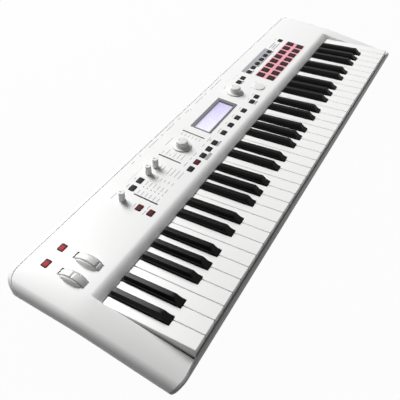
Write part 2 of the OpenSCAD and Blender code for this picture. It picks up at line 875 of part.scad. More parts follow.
module display_frame() {
    color("#6a6e74")
    on_panel()
        difference() {
            translate([display_x, display_t, 0]) {
                block([display_w, display_d], 0, 0.9);
                block([display_w - 3.2, display_d - 3.2], -wall, eps);
            }
            translate([window_x, window_t, 0]) {
                block([window_w, window_d], -20, 20);
                block([window_w + 3, window_d + 3], -20, -0.4);
            }
        }
}

module display_window() {
    color("#dfe4ee", 0.4)
    on_panel() translate([window_x, window_t, 0]) block([window_w + 2.6, window_d + 2.6], -1.8, -0.4);
}

module lcd_module() {
    color("#dcd6f4")
    on_panel() translate([window_x, window_t, 0]) block([window_w + 4, window_d + 5], -board_h, -wall - 0.3);
}

// Wheels

module wheel_bracket() {
    left = wheel_x - wheel_pitch / 2 - bracket_t / 2;
    color("#77797c") {
        for (i = [0 : 2])
            translate([left + i * wheel_pitch, wheel_y - 9, floor_z + 1])
                cube([bracket_t, 18, wheel_z - floor_z + 6]);
        translate([left, wheel_y - 11, floor_z]) cube([2 * wheel_pitch + bracket_t, 22, 2]);
        translate([left + 1, wheel_y, wheel_z])
            rotate([0, 90, 0])
                cylinder(h = 2 * wheel_pitch, r = axle_r);
    }
}

// A wheel with a finger notch across its rim, turned towards the player by the given angle
module wheel(x, turn) {
    color("#e8e8e4")
    translate([x, wheel_y, wheel_z])
        rotate([panel_tilt + turn, 0, 0])
            difference() {
                union() {
                    rotate([0, 90, 0]) cylinder(h = wheel_w, r = wheel_r, center = true, $fn = 96);
                    rotate([0, 90, 0]) cylinder(h = wheel_pitch - bracket_t - 2 * slide_gap, r = 6, center = true);
                }
                rotate([0, 90, 0]) cylinder(h = 2 * wheel_pitch, r = axle_r + run_gap, center = true);
                translate([0, 0, wheel_r + 1.2]) rotate([0, 90, 0]) cylinder(h = 2 * wheel_w, r = 2.2, center = true);
            }
}

// Panel controls

// Stem, body and pointer groove of a small knob
module knob(x, t) {
    color("#e4e4e0")
    on_panel()
        translate([x, t, 0])
            difference() {
                union() {
                    translate([0, 0, 0.2 - shaft_end]) cylinder(h = shaft_end + lift, r = shaft_r);
                    translate([0, 0, lift]) cylinder(h = knob_h - lift, r1 = knob_r, r2 = knob_r - 0.4);
                }
                translate([-0.5, knob_r - 3, knob_h - 0.8]) cube([1, 4, 2]);
            }
}

// Flanged dial, turned about its own axis
module dial(x, t) {
    color("#eeeeea")
    on_panel()
        translate([x, t, 0]) {
            translate([0, 0, 0.2 - shaft_end]) cylinder(h = shaft_end + lift, r = shaft_r);
            rotate_extrude($fn = 96)
                polygon([[0, lift], [dial_r, lift], [dial_r, lift + 1.2], [dial_r * 0.8, lift + 2.2],
                    [dial_r * 0.66, lift + 4], [dial_r * 0.63, dial_h - 0.8], [dial_r * 0.58, dial_h], [0, dial_h]]);
        }
}

module cursor_pad() {
    color("#f0f0ec")
    on_panel()
        translate([cursor_x, cursor_t, 0])
            rotate_extrude($fn = 96)
                polygon([[0, -cap_under - cap_stem], [1.6, -cap_under - cap_stem], [1.6, -cap_under],
                    [cursor_r + cap_flange, -cap_under],
                    [cursor_r + cap_flange, -wall - slide_gap], [cursor_r, -wall - slide_gap],
                    [cursor_r, 1.4], [cursor_r - 0.6, 2], [0, 2.4]]);
}

// A cap with a retaining flange under the panel and a stem over its switch
module cap(w, d, proud, under, depth) {
    block([w, d], -depth - eps, proud);
    block([w + 2 * cap_flange, d + 2 * cap_flange], -under, cap_flange_t - under);
}

module button_row(b) {
    color(b[5])
    on_panel()
        for (i = [0 : b[3] - 1])
            translate([b[1] + i * b[2], b[4], 0]) {
                cap(button_w, button_d, button_proud, cap_under, wall + slide_gap);
                translate([0, 0, -cap_under - cap_stem]) cylinder(h = 1, r = 1.6);
            }
}

module pad_row(row) {
    color("#241416")
    on_panel()
        for (i = [0 : pads - 1])
            translate([pad_x + i * pad_pitch, pad_t + row * pad_row_pitch, 0])
                cap(pad_w, pad_d, button_proud, pad_under, wall + glow_flange_t + slide_gap);
}

module pad_light_frame() {
    color("#e8a0a8")
    on_panel()
        difference() {
            translate([glow_x, glow_t, 0]) {
                block([glow_w - 0.2, glow_d - 0.2], -wall - eps, 0);
                block([glow_w + 3, glow_d + 3], -wall - glow_flange_t, -wall);
            }
            for (i = [0 : pads - 1]) for (row = [0, 1])
                translate([pad_x + i * pad_pitch, pad_t + row * pad_row_pitch, 0])
                    block([pad_w + 2 * slide_gap, pad_d + 2 * slide_gap], -20, 20);
        }
}

module led_lenses() {
    color("#701c20")
    on_panel()
        for (i = [0 : led_n - 1])
            translate([led_x, led_t + i * led_pitch, -board_h]) cylinder(h = board_h + 0.3, r = led_r);
}

// What is drawn

upper_case();
front_rail();
rear_cover();
lower_case();
rubber_feet();
case_screws();
key_frame();
key_felts();
contact_board();
contact_rubber();
main_board();
panel_board();
panel_switches();
pot_bodies();
wheel_bracket();
jack_board();
rear_jacks();
display_frame();
display_window();
lcd_module();
pad_light_frame();
led_lenses();
for (o = [1 : octaves]) {
    white_comb(o - 1, [0, 2, 4, 6], 0);
    white_comb(o - 1, [1, 3, 5], 1);
    black_comb(o - 1);
}
top_c_key();
for (w = wheel_rows)
    wheel(wheel_x + w[1] * wheel_pitch, w[2]);
for (k = knob_rows)
    knob(k[1], k[2]);
for (d = dial_rows)
    dial(d[1], d[2]);
cursor_pad();
power_button();
for (b = button_rows)
    button_row(b);
for (p = pad_rows)
    pad_row(p[1]);
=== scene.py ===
"""Looks of a sixty-one-key synthesizer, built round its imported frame.

Mesh code works in millimetres, and a mesh turns into metres when it is made. The panel has its own
coordinates: x along it, t up its slope from the lip line over the keys, and h out of its face.
"""

import json

import bmesh
import bpy
import numpy as np
from mathutils import Matrix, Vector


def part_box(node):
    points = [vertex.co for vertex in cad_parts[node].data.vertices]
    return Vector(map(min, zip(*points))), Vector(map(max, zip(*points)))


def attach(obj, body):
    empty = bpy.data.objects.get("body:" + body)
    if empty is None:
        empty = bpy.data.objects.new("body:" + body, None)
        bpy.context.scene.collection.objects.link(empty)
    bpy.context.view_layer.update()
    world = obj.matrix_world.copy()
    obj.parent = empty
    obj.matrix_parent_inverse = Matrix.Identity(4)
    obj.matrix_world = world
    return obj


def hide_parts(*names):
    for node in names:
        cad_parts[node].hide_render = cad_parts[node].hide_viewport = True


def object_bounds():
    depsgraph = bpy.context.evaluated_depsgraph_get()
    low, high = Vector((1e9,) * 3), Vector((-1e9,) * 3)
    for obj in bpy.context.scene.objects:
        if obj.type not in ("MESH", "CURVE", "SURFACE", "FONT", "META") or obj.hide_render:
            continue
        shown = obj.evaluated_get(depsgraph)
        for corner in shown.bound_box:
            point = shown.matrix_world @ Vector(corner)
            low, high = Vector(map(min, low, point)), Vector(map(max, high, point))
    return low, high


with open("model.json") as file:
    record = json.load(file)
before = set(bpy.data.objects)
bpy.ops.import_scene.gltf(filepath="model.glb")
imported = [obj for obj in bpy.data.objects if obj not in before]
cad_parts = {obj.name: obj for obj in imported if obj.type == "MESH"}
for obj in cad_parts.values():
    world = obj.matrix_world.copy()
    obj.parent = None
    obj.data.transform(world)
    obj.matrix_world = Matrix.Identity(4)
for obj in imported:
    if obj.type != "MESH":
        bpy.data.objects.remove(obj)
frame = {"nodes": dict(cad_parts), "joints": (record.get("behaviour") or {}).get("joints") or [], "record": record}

bl_info = {
    "name": "Keyboard Synthesizer",
    "version": (1, 0, 0),
    "blender": (4, 5, 0),
    "location": "View3D > Sidebar > Synthesizer",
    "description": "Builds the pieces of a keyboard synthesizer round its packed frame",
    "category": "Object",
}

MM = 0.001
CAD_BOX = [[float(v) for v in corner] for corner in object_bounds()]


def node_box(name):
    """Lowest and highest corner of a frame node, in millimetres."""
    low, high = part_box(name)
    return np.array(low) / MM, np.array(high) / MM


def pivot(name):
    """Point on the axis of a node's joint, in millimetres."""
    return np.array(JOINTS[name]["pos_m"]) / MM


# Places that come from the frame, and the lip line, which lies below the knobs' row by their t
JOINTS = {joint["child"]: joint for joint in frame["joints"]}
MOUNTS = {mount["name"]: mount for mount in frame["record"]["mounts"]}
OPENINGS = {opening["name"]: opening for opening in frame["record"]["physics"]["openings"]}
HALF_W = CAD_BOX[1][0] / MM
FRONT_Y = CAD_BOX[0][1] / MM
REAR_Y = CAD_BOX[1][1] / MM
WHITE_FRONT = node_box("top_c_key")[0][1]
KEY_TOP = node_box("top_c_key")[1][2]
KNOB_AXIS = JOINTS["volume_knob"]["axis"]
TILT = np.arctan2(-KNOB_AXIS[1], KNOB_AXIS[2])
COS, SIN = np.cos(TILT), np.sin(TILT)
KNOB_T = 68.8
LIP_Y = pivot("volume_knob")[1] - KNOB_T * COS
LIP_Z = pivot("volume_knob")[2] - KNOB_T * SIN
SOCKET_Z = MOUNTS["midi_in"]["pos_m"][2] / MM

# Case: slope of the cheeks, section of the ends, corners in plan
CHEEK_SLOPE = np.tan(np.radians(10.3))
KNEE_REACH, KNEE_BLEND, DROOP, DROOP_RUN = 16.0, 10.0, 3.3, 150.0
CROWN_R, CROWN_W, NOSE_R, CORNER_R = 220.0, 30.2, 13.0, 27.0
SWEEP_R, SWEEP_TURN, TIP_R = 36.0, np.radians(30), 8.0
SWEEP_X = HALF_W - TIP_R - (SWEEP_R - TIP_R) * np.sin(SWEEP_TURN)
TIP_Y = SWEEP_R - (SWEEP_R - TIP_R) * np.cos(SWEEP_TURN)
FRONT_RUN, REAR_RUN = 70.0, 60.0
NOSE_X = HALF_W - NOSE_R
CHEEK_X = NOSE_X - CROWN_W
CROWN_A = np.arcsin(CROWN_W / (CROWN_R - NOSE_R))
NOSE_FALL = CROWN_R - (CROWN_R - NOSE_R) * np.cos(CROWN_A)
SHELL_DEPTH = NOSE_FALL + NOSE_R
RIM_W, WALL, CHEEK_WALL, CHEEK_EASE = 7.0, 2.6, 22.0, 9.0
LIP_T, LIP_TURN, LIP_LEN, LIP_WALL = 4.0, np.radians(37.8), 18.05, 1.4

# Front rail and rear cover
UNDERCUT_Z = KEY_TOP - 23.5
RAIL_T, RAIL_DROP, RAIL_LAP, RAIL_LEAN, RAIL_LIFT = 2.2, 9.0, 1.2, 0.9, 0.08
RAIL_RISE, RAIL_RISE_W, RAIL_FINE, RAIL_EDGE = 20.0, 22.0, 14.0, 0.7
RAIL_MIN, RAIL_MIN_BACK = 0.05, 0.03
SHELL_FRONT = FRONT_Y + RAIL_T
COVER_D, COVER_EDGE, COVER_WALL, SEAM_GAP = 7.5, 2.0, 2.0, 1.1
SEAM_Y = REAR_Y - COVER_D
SEAM_T = (SEAM_Y - LIP_Y) / COS

# Rear openings: room round a bore, square of mesh round a socket, and the two rectangular ones
BORE_ROOM, SOCKET_EDGE = 1.3, 0.5
USB_SIZE, POWER_SIZE = (13.4, 6.0), (12.6, 8.6)

# White keys: sizes, corner radii in plan, and the deeper side of the outermost ones
KEY_PITCH, KEY_GAP, HEAD_LEN, OCTAVES = 23.5, 1.0, 45.5, 5
KEYBED_HALF = (7 * OCTAVES + 1) * KEY_PITCH / 2
KEY_H, KEY_SKIRT, KEY_LIP, KEY_FOOT = 14.0, 1.2, 2.0, 0.25
HEAD_R, SHOULDER_R, NOTCH_R, TAIL_R, LIP_R = 1.3, 1.0, 0.9, 0.3, 0.05
TOP_RING = 0.1
SIDE_H, SIDE_T, SIDE_FRONT, SIDE_BACK, SIDE_IN, SIDE_LAP = 5.0, 0.9, 1.5, 34.0, 0.05, 0.1
TAIL_END = LIP_Y - 2.5

# Sharps: sizes, then the toe part way up the leaning front, and the foot that sinks under the lip
SHARP_FRONT = WHITE_FRONT + HEAD_LEN + KEY_GAP
SHARP_W, SHARP_TOP_W, SHARP_DEEP, SHARP_LEAN = 13.0, 7.2, 12.0, 11.0
SHARP_H, SHARP_REAR_H, SHARP_SIDE_H, SHARP_FOOT_H, SHARP_TAIL_H = 10.6, 8.9, 4.4, 1.0, 0.3
LIP_EDGE_Y = WHITE_FRONT + 136.9
SHARP_REAR, SHARP_HEEL = LIP_EDGE_Y - 3.6, LIP_EDGE_Y - 1.5
SHARP_TRIM, SHARP_STEP = 0.05, 0.1
TOE_LEN, TOE_SIDE_H, TOE_H, TOE_IN = 5.5, 2.2, 3.9, 1.3
FOOT_FALL, FOOT_SUNK, SUNK_H = 13.0, 5.0, 0.02
SHARP_PLACES = {1: -0.09, 2: 0.09, 4: -0.12, 5: 0.0, 6: 0.12}

# Wheels
WHEEL_R, WHEEL_W, WHEEL_T, WHEEL_SHOW, WHEEL_GAP = 30.0, 10.4, 37.5, 20.5, 0.7
WHEEL_BORE, WHEEL_HUB, WHEEL_EDGE, MOD_REST = 3.1, 14.0, 1.6, 30.0
NOTCH_DEEP, NOTCH_W, NOTCH_SPAN = 1.0, 1.5, 8.0
WHEEL_X = [pivot(name)[0] for name in ("pitch_wheel", "mod_wheel")]
SLOT_BACK, SLOT_MORE = 0.9, 1.0
FAIRING_HALF, FAIRING_LOW, FAIRING_LIFT, FAIRING_RUN, FAIRING_SPREAD = 24.0, 1.3, 0.02, 1.0, 0.5

# Knobs, dials and cursor pad, and the eased top edge of marks and panes
DIAL_T, DIAL_R, DIAL_H = 59.8, 16.0, 12.5
KNOB_R, KNOB_H = 5.1, 16.0
CURSOR_X, CURSOR_T, CURSOR_R, CURSOR_H = 131.5, 28.6, 12.0, 1.7
CURSOR_HALF, CURSOR_MARK = CURSOR_R + 2.0, 16.5
TOP_INSETS = [0, 0, 0.1]

# Display and indicators
DISPLAY_X, DISPLAY_T, DISPLAY_W, DISPLAY_D = -0.8, 56.7, 106.0, 41.0
WINDOW_X, WINDOW_T, WINDOW_W, WINDOW_D = -3.7, 55.2, 96.0, 30.5
BEZEL_H, BEZEL_INNER_H, BEZEL_FOOT, BEZEL_DEEP, BEZEL_BACK, BEZEL_LAP = 0.9, 0.75, -0.4, -2.6, 1.7, 3.0
PANE_LAP, PANE_LEVELS = 2.4, [-1.8, -0.5, -0.4]
FACE_LAP, FACE_LEVELS = 3.0, [-8.0, -3.0, -2.95]
LED_X, LED_T, LED_PITCH, LEDS, LED_R, LED_DEEP = -227.0, 22.9, 7.05, 6, 1.0, 6.0

# Pads, and the light guide round them
PAD_X, PAD_T, PAD_W, PAD_D, PAD_H, PAD_R = 175.4, 21.9, 15.4, 15.0, 1.3, 1.9
PAD_PITCH, PAD_ROW, PADS, PAD_RIM, GUIDE_GAP = 22.2, 22.6, 8, 3.3, 0.1
GLOW_X = PAD_X + (PADS - 1) * PAD_PITCH / 2
GLOW_T = PAD_T + PAD_ROW / 2
GLOW_W = (PADS - 1) * PAD_PITCH + PAD_W + 2 * PAD_RIM
GLOW_D = PAD_ROW + PAD_D + 2 * PAD_RIM - 0.6

# Buttons as rows of first x, pitch, count and t, and the gap round every cap that slides
BUTTON_W, BUTTON_D, BUTTON_H, BUTTON_R = 13.0, 9.6, 1.1, 1.7
SLIDE_GAP = 0.3
FRONT_T, BACK_T, RHYTHM_T = 17.7, 69.5, 37.9
OCTAVE_T = (WHEEL_T + WHEEL_SHOW + SEAM_T) / 2 - 1.15
BUTTON_ROWS = {
    "octave_down_button": (WHEEL_X[0] - 0.1, 0, 1, OCTAVE_T),
    "octave_up_button": (WHEEL_X[1] - 0.1, 0, 1, OCTAVE_T),
    "select_buttons": (-238.2, 20, 2, BACK_T + 0.8),
    "arpeggio_button": (-267, 0, 1, RHYTHM_T),
    "rhythm_button": (-267, 0, 1, FRONT_T),
    "menu_buttons": (-152, 20.1, 5, FRONT_T),
    "function_buttons": (-38.2, 26.6, 4, FRONT_T),
    "page_buttons": (76.7, 20, 2, FRONT_T),
    "exit_buttons": (124.1, 18, 2, BACK_T),
    "bank_buttons": (170.7, 20.25, 6, BACK_T),
    "write_button": (332.4, 0, 1, BACK_T),
}
LIT_BUTTONS = ("octave_down_button", "octave_up_button", "arpeggio_button", "rhythm_button")
GLOWING_MENU = 1

# Printing
PRINT_LEVELS, PRINT_INSETS = [-0.05, 0.03, 0.05], [0, 0, 0.02]
WORD_HALF, DIVIDER_HALF, MARK_HALF, BAND_CLEAR = 0.6, 1.25, 1.0, 0.6

# Stage: viewing angle of the photograph, camera's place in millimetres, lamp and floor in metres
CAMERA_AZ, CAMERA_EL, CAMERA_ROLL = np.radians([-58.123, 42.623, -2.926])
CAMERA_PLACE = np.array([-667.01, -299.78, 563.40])
FOCAL_PX, FRAME_PX, SENSOR_W = 488.448, 400, 36
LAMP_PLACE, LAMP_AIM, LAMP_SIZE = np.array([0.43, 1.63, 1.8]), np.array([0, 0, 0.05]), 1.2
BAND_WAY, BAND_SPREAD, BAND_HEIGHT = (0.45, 0.89, 0.0), (-0.1, 0.7), (0.25, 0.6)
FLOOR_REACH, FLOOR_SHADE, FLOOR_WHITE = 5.0, 0.3, 0.97


# Shapes


def panel_point(x, t, h):
    """Points at panel coordinates, from the lip line.

    y = lip_y + t cos(tilt) - h sin(tilt), z = lip_z + t sin(tilt) + h cos(tilt).
    """
    x, t, h = np.broadcast_arrays(x, t, h)
    return np.stack([x + 0.0, LIP_Y + t * COS - h * SIN, LIP_Z + t * SIN + h * COS], -1)


def smoothstep(v):
    """3 v^2 - 2 v^3 between 0 and 1."""
    v = np.clip(v, 0, 1)
    return v * v * (3 - 2 * v)


def case_height(x, y):
    """Height of the case's top plane: the panel's slope behind the lip line, the cheek's before it.

    Beyond the keys, the change of slope is rounded within the knee's reach r by the parabola
    (d + r)^2 / 4r, and the cheeks droop to the outer front corner by droop s^2 smoothstep(-d / run),
    where s runs from 0 beside the keys to 1 at the end.
    """
    d = y - LIP_Y
    panel, cheek, r = SIN / COS, CHEEK_SLOPE, KNEE_REACH
    sharp = LIP_Z + d * np.where(d > 0, panel, cheek)
    curve = LIP_Z + cheek * d + (panel - cheek) * (np.clip(d, -r, r) + r) ** 2 / (4 * r)
    curve = np.where(d > r, sharp, curve)
    out = np.abs(x) - CHEEK_X
    s = np.clip(out / (HALF_W - CHEEK_X), 0, 1)
    droop = DROOP * s**2 * smoothstep(-d / DROOP_RUN)
    return sharp + (curve - sharp) * smoothstep(out / KNEE_BLEND) - droop


def rear_pull(x):
    """How far the plan draws back at x from its straight rear edge: r - sqrt(r^2 - (|x| - (w - r))^2)."""
    over = np.clip(np.abs(x) - (HALF_W - CORNER_R), 0, CORNER_R)
    return CORNER_R - np.sqrt(np.maximum(CORNER_R**2 - over**2, 0))


def front_pull(x):
    """The same at the front edge: an arc of the sweep's radius, then one of the tip's up to the side."""
    over = np.clip(np.abs(x) - SWEEP_X, 0, SWEEP_R * np.sin(SWEEP_TURN))
    beyond = np.clip(np.abs(x) - (HALF_W - TIP_R), 0, TIP_R)
    sweep = SWEEP_R - np.sqrt(SWEEP_R**2 - over**2)
    tip = TIP_Y - np.sqrt(np.maximum(TIP_R**2 - beyond**2, 0))
    return np.where(np.abs(x) < SWEEP_X + SWEEP_R * np.sin(SWEEP_TURN), sweep, tip)


def end_section(crown=8, nose=32):
    """Half section of an end as x and fall below the top plane: crown arc, nose arc, rim turned in."""
    a = CROWN_A * np.linspace(0, 1, crown + 1)[1:]
    b = CROWN_A + (np.pi - CROWN_A) * np.linspace(0, 1, nose + 1)[1:]
    rim = np.linspace(0, 1, 3)[1:]
    x = [CHEEK_X + CROWN_R * np.sin(a), NOSE_X + NOSE_R * np.sin(b), NOSE_X - RIM_W * rim]
    fall = [CROWN_R * (1 - np.cos(a)), NOSE_FALL - NOSE_R * np.cos(b), SHELL_DEPTH + 0 * rim]
    return np.minimum(np.concatenate(x), HALF_W), np.concatenate(fall)


def end_drop(x):
    """The same section at given x: how far the top and the rim under it lie below the top plane.

    The top falls by R - sqrt(R^2 - d^2) over the crown, and by the nose arc's height beyond it.
    """
    out = np.abs(x)
    nose = np.sqrt(np.maximum(NOSE_R**2 - np.clip(out - NOSE_X, 0, NOSE_R) ** 2, 0))
    crown = CROWN_R - np.sqrt(CROWN_R**2 - np.clip(out - CHEEK_X, 0, None) ** 2)
    bent = out > CHEEK_X + CROWN_R * np.sin(CROWN_A)
    return np.where(bent, NOSE_FALL - nose, crown), NOSE_FALL + nose


def lip_profile(steps=18):
    """Section of the lip as t and h, along s: its slope turns by a(u) = turn (2u - u^2).

    dt = -cos(a) ds, dh = -sin(a) ds.
    """
    u = (np.arange(steps) + 0.5) / steps
    a = LIP_TURN * (2 * u - u**2)
    t = LIP_T - LIP_LEN / steps * np.append(0, np.cumsum(np.cos(a)))
    h = -LIP_LEN / steps * np.append(0, np.cumsum(np.sin(a)))
    return t, h


def fill_lines(edges, step):
    """Sorted grid lines that hold every edge, with even lines between them no further apart than step."""
    edges = np.unique(np.round(edges, 4))
    counts = np.maximum(np.ceil(np.diff(edges) / step).astype(int), 1)
    parts = [np.linspace(a, b, n + 1)[:-1] for a, b, n in zip(edges, edges[1:], counts)]
    return np.append(np.concatenate(parts), edges[-1])


def lines_round(holes, axis, others, step):
    """Grid lines along axis 0 or 1 that hold both edges of every opening, and the other lines given."""
    middle, half = holes[:, axis], holes[:, axis + 2] / 2
    return fill_lines(np.concatenate([others, middle - half, middle + half]), step)


def cells_in(xs, ys, holes):
    """Whether the middle of each cell between grid lines lies in an opening: [rows, columns].

    Openings are rows of centre x, centre y, width and height.
    """
    x, y = (xs[1:] + xs[:-1]) / 2, (ys[1:] + ys[:-1]) / 2
    in_x = np.abs(x[None, :, None] - holes[:, 0]) < holes[:, 2] / 2
    in_y = np.abs(y[:, None, None] - holes[:, 1]) < holes[:, 3] / 2
    return (in_x & in_y).any(-1)


def rounded_outline(w, d, r, steps=6):
    """Rectangle with quarter-circle corners, anticlockwise: corner centre + r (cos a, sin a)."""
    a = np.radians(np.linspace(0, 90, steps))[None, :] + np.radians([0, 90, 180, 270])[:, None]
    x = (w / 2 - r) * np.array([1, -1, -1, 1])[:, None] + r * np.cos(a)
    y = (d / 2 - r) * np.array([1, 1, -1, -1])[:, None] + r * np.sin(a)
    return np.stack([x, y], -1).reshape(-1, 2)


def rounded_corners(corners, radii, steps=5):
    """Outline of right-angled corners, each turned by an arc C - r (b cos s + a sin s), C = P + r (a + b).

    a and b are the unit directions from corner P to its neighbours.
    """
    p = np.asarray(corners, float)
    a = np.roll(p, 1, 0) - p
    b = np.roll(p, -1, 0) - p
    a /= np.linalg.norm(a, axis=1, keepdims=True)
    b /= np.linalg.norm(b, axis=1, keepdims=True)
    r = np.asarray(radii, float)[:, None, None]
    s = np.linspace(0, np.pi / 2, steps)[None, :, None]
    arc = p[:, None] + r * (a + b)[:, None] - r * (b[:, None] * np.cos(s) + a[:, None] * np.sin(s))
    return arc.reshape(-1, 2)


def softened(corners, reach, steps=5):
    """Open line with rounded corners, B(u) = (1-u)^2 P + 2u (1-u) C + u^2 N.

    P and N lie reach from corner C, but no further than a share of the way to its neighbours. A corner
    with no reach stays sharp, and flats between corners keep a line near each end.
    """
    furthest, near = 0.4, 0.06
    c = np.asarray(corners, float)
    u = np.linspace(0, 1, steps)[:, None]
    parts = [c[:1]]
    for before, at, after, r in zip(c, c[1:], c[2:], reach[1:-1]):
        p = at + (before - at) * min(r / np.linalg.norm(before - at), furthest)
        n = at + (after - at) * min(r / np.linalg.norm(after - at), furthest)
        bend = (1 - u) ** 2 * p + 2 * u * (1 - u) * at + u**2 * n
        parts += [p + (before - p) * near, bend, n + (after - n) * near]
    return np.concatenate([np.atleast_2d(part) for part in parts] + [c[-1:]])


def drawn_in(outline, inset):
    """Anticlockwise outline moved inwards along its normals by each inset: [insets, points, 2]."""
    along = np.roll(outline, -1, 0) - np.roll(outline, 1, 0)
    out = np.stack([along[:, 1], -along[:, 0]], -1)
    out /= np.linalg.norm(out, axis=1, keepdims=True)
    return outline[None] - np.asarray(inset, float)[:, None, None] * out[None]


def fillet(r, steps=5):
    """Quarter-circle edge as inset r (1 - cos a) and drop r (1 - sin a), from the side to the top."""
    a = np.linspace(0, np.pi / 2, steps)
    return r * (1 - np.cos(a)), r * (1 - np.sin(a))


class Mesh:
    """Points and faces of one piece, gathered in millimetres."""

    def __init__(self):
        self.points, self.faces, self.uvs, self.count = [], [], [], 0

    def grid(self, points, wrap=False, keep=None, ends=False, uv=None):
        """Adds points[rows, columns, 3] as quads: wrapped in columns, end rows filled, or cells left out."""
        rows, cols = points.shape[:2]
        r = np.arange(rows - 1)[:, None] * cols
        c = np.arange(cols if wrap else cols - 1)[None, :]
        n = (c + 1) % cols
        faces = np.stack(np.broadcast_arrays(r + c, r + n, r + cols + n, r + cols + c), -1)
        faces = faces.reshape(-1, 4) if keep is None else faces[keep]
        self.faces += (faces + self.count).tolist()
        if ends:
            ring = np.arange(cols) + self.count
            self.faces += [ring[::-1].tolist(), (ring + (rows - 1) * cols).tolist()]
        self.points.append(points.reshape(-1, 3))
        self.uvs.append(np.zeros((rows * cols, 2)) if uv is None else uv.reshape(-1, 2))
        self.count += rows * cols


def hole_ring(mesh, place, xs, ys, centre, half, radius):
    """Joins a square of grid lines round a centre to a circle in it, point by point at the same angle."""
    x = xs[np.abs(xs - centre[0]) < half + 1e-3]
    y = ys[np.abs(ys - centre[1]) < half + 1e-3]
    low, high = centre[0] - half, centre[0] + half
    bottom, top = centre[1] - half, centre[1] + half
    square = np.concatenate(
        [
            np.stack([x[:-1], np.full(len(x) - 1, bottom)], -1),
            np.stack([np.full(len(y) - 1, high), y[:-1]], -1),
            np.stack([x[:0:-1], np.full(len(x) - 1, top)], -1),
            np.stack([np.full(len(y) - 1, low), y[:0:-1]], -1),
        ]
    )
    away = square - np.asarray(centre)
    circle = centre + radius * away / np.linalg.norm(away, axis=1, keepdims=True)
    rings = np.stack([circle, (square + circle) / 2, square])[::-1]
    mesh.grid(place(rings[..., 0], rings[..., 1]), wrap=True)


def pad_uv(points):
    """UV of panel coordinates (x, t) that counts pads: a pad's middle lies at 0.5 in its cell."""
    return (points - [PAD_X, PAD_T]) / [PAD_PITCH, PAD_ROW] + 0.5


def corner_fills(mesh, centre, size, r):
    """Fills the corners of a rectangular hole in the panel's plane up to a quarter circle in each."""
    arcs = rounded_outline(*size, r).reshape(4, -1, 2) + centre
    tips = rounded_outline(*size, 0.0).reshape(4, -1, 2) + centre
    for ring in np.stack([tips, arcs], 1):
        mesh.grid(panel_point(ring[..., 0], ring[..., 1], 0.0), uv=pad_uv(ring))


def piece(name, body, mesh, material, nodes=(), smooth=35, weld=0.0, wall=0.0):
    """Makes the mesh an object that rides on a body, stands for its frame nodes and has one material.

    Edges that turn more than smooth degrees are sharp, and so are open edges. A piece with a wall is an
    open skin whose faces already point outwards, and it gets its thickness inwards.
    """
    data = bpy.data.meshes.new(name)
    data.from_pydata((np.concatenate(mesh.points) * MM).tolist(), [], mesh.faces)
    corner = np.empty(len(data.loops), np.int32)
    data.loops.foreach_get("vertex_index", corner)
    uv = np.concatenate(mesh.uvs)[corner].astype(np.float32).ravel()
    data.uv_layers.new(name="UVMap").data.foreach_set("uv", uv)
    work = bmesh.new()
    work.from_mesh(data)
    if weld:
        bmesh.ops.remove_doubles(work, verts=work.verts, dist=weld * MM)
    if not wall:
        bmesh.ops.recalc_face_normals(work, faces=work.faces)
    work.to_mesh(data)
    work.free()
    data.shade_smooth()
    data.set_sharp_from_angle(angle=np.radians(smooth))
    edge, sharp = np.empty(len(data.loops), np.int32), np.empty(len(data.edges), bool)
    data.loops.foreach_get("edge_index", edge)
    data.edges.foreach_get("use_edge_sharp", sharp)
    data.edges.foreach_set("use_edge_sharp", sharp | (np.bincount(edge, minlength=len(sharp)) == 1))
    data.materials.append(material)
    obj = bpy.data.objects.new(name, data)
    bpy.context.scene.collection.objects.link(obj)
    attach(obj, body)
    if nodes:
        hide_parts(*nodes)
    if wall:
        solid = obj.modifiers.new("wall", "SOLIDIFY")
        solid.thickness, solid.offset = wall * MM, -1
    return obj


def capped_block(mesh, centre, outline, levels, insets, uv_size=None, crown=()):
    """Closed block on the panel: an outline drawn in by each inset at each level, from the bottom up.

    The crown's pairs of share and level add the last ring again, shrunk towards its middle.
    """
    rings = drawn_in(outline, insets)
    rings = np.concatenate([rings] + [rings[-1:] * share for share, _ in crown])
    level = np.asarray([*levels, *(h for _, h in crown)], float)[:, None] + 0 * rings[..., 0]
    uv = None if uv_size is None else rings / np.asarray(uv_size) + 0.5
    at = rings + centre
    mesh.grid(panel_point(at[..., 0], at[..., 1], level), wrap=True, ends=True, uv=uv)


def turned(mesh, centre, radius, height, steps):
    """Closed body turned about a normal of the panel, both ends filled.

    It is (r cos a, r sin a, h) from the centre for each point (r, h) of the profile.
    """
    a = np.linspace(0, 2 * np.pi, steps, endpoint=False)[None, :]
    r, h = np.asarray(radius, float)[:, None], np.asarray(height, float)[:, None]
    points = panel_point(centre[0] + r * np.cos(a), centre[1] + r * np.sin(a), h + 0 * a)
    mesh.grid(points, wrap=True, ends=True)


# Materials


def add(tree, kind, inputs=None, **settings):
    """Adds a shader node with its settings, and sets each input or links it when given a socket."""
    node = tree.nodes.new(kind)
    for key, value in settings.items():
        setattr(node, key, value)
    for key, value in (inputs or {}).items():
        if isinstance(value, bpy.types.NodeSocket):
            tree.links.new(value, node.inputs[key])
        else:
            node.inputs[key].default_value = value
    return node


def math(tree, operation, *values):
    """Adds a math node on numbers or sockets and gives its result."""
    return add(tree, "ShaderNodeMath", dict(enumerate(values)), operation=operation).outputs[0]


def ramp(tree, value, start, end, low=0.0, high=1.0, kind="SMOOTHSTEP"):
    """Adds a change from low to high while a value goes from start to end, and gives its result."""
    limits = {"Value": value, "From Min": start, "From Max": end, "To Min": low, "To Max": high}
    return add(tree, "ShaderNodeMapRange", limits, interpolation_type=kind).outputs["Result"]


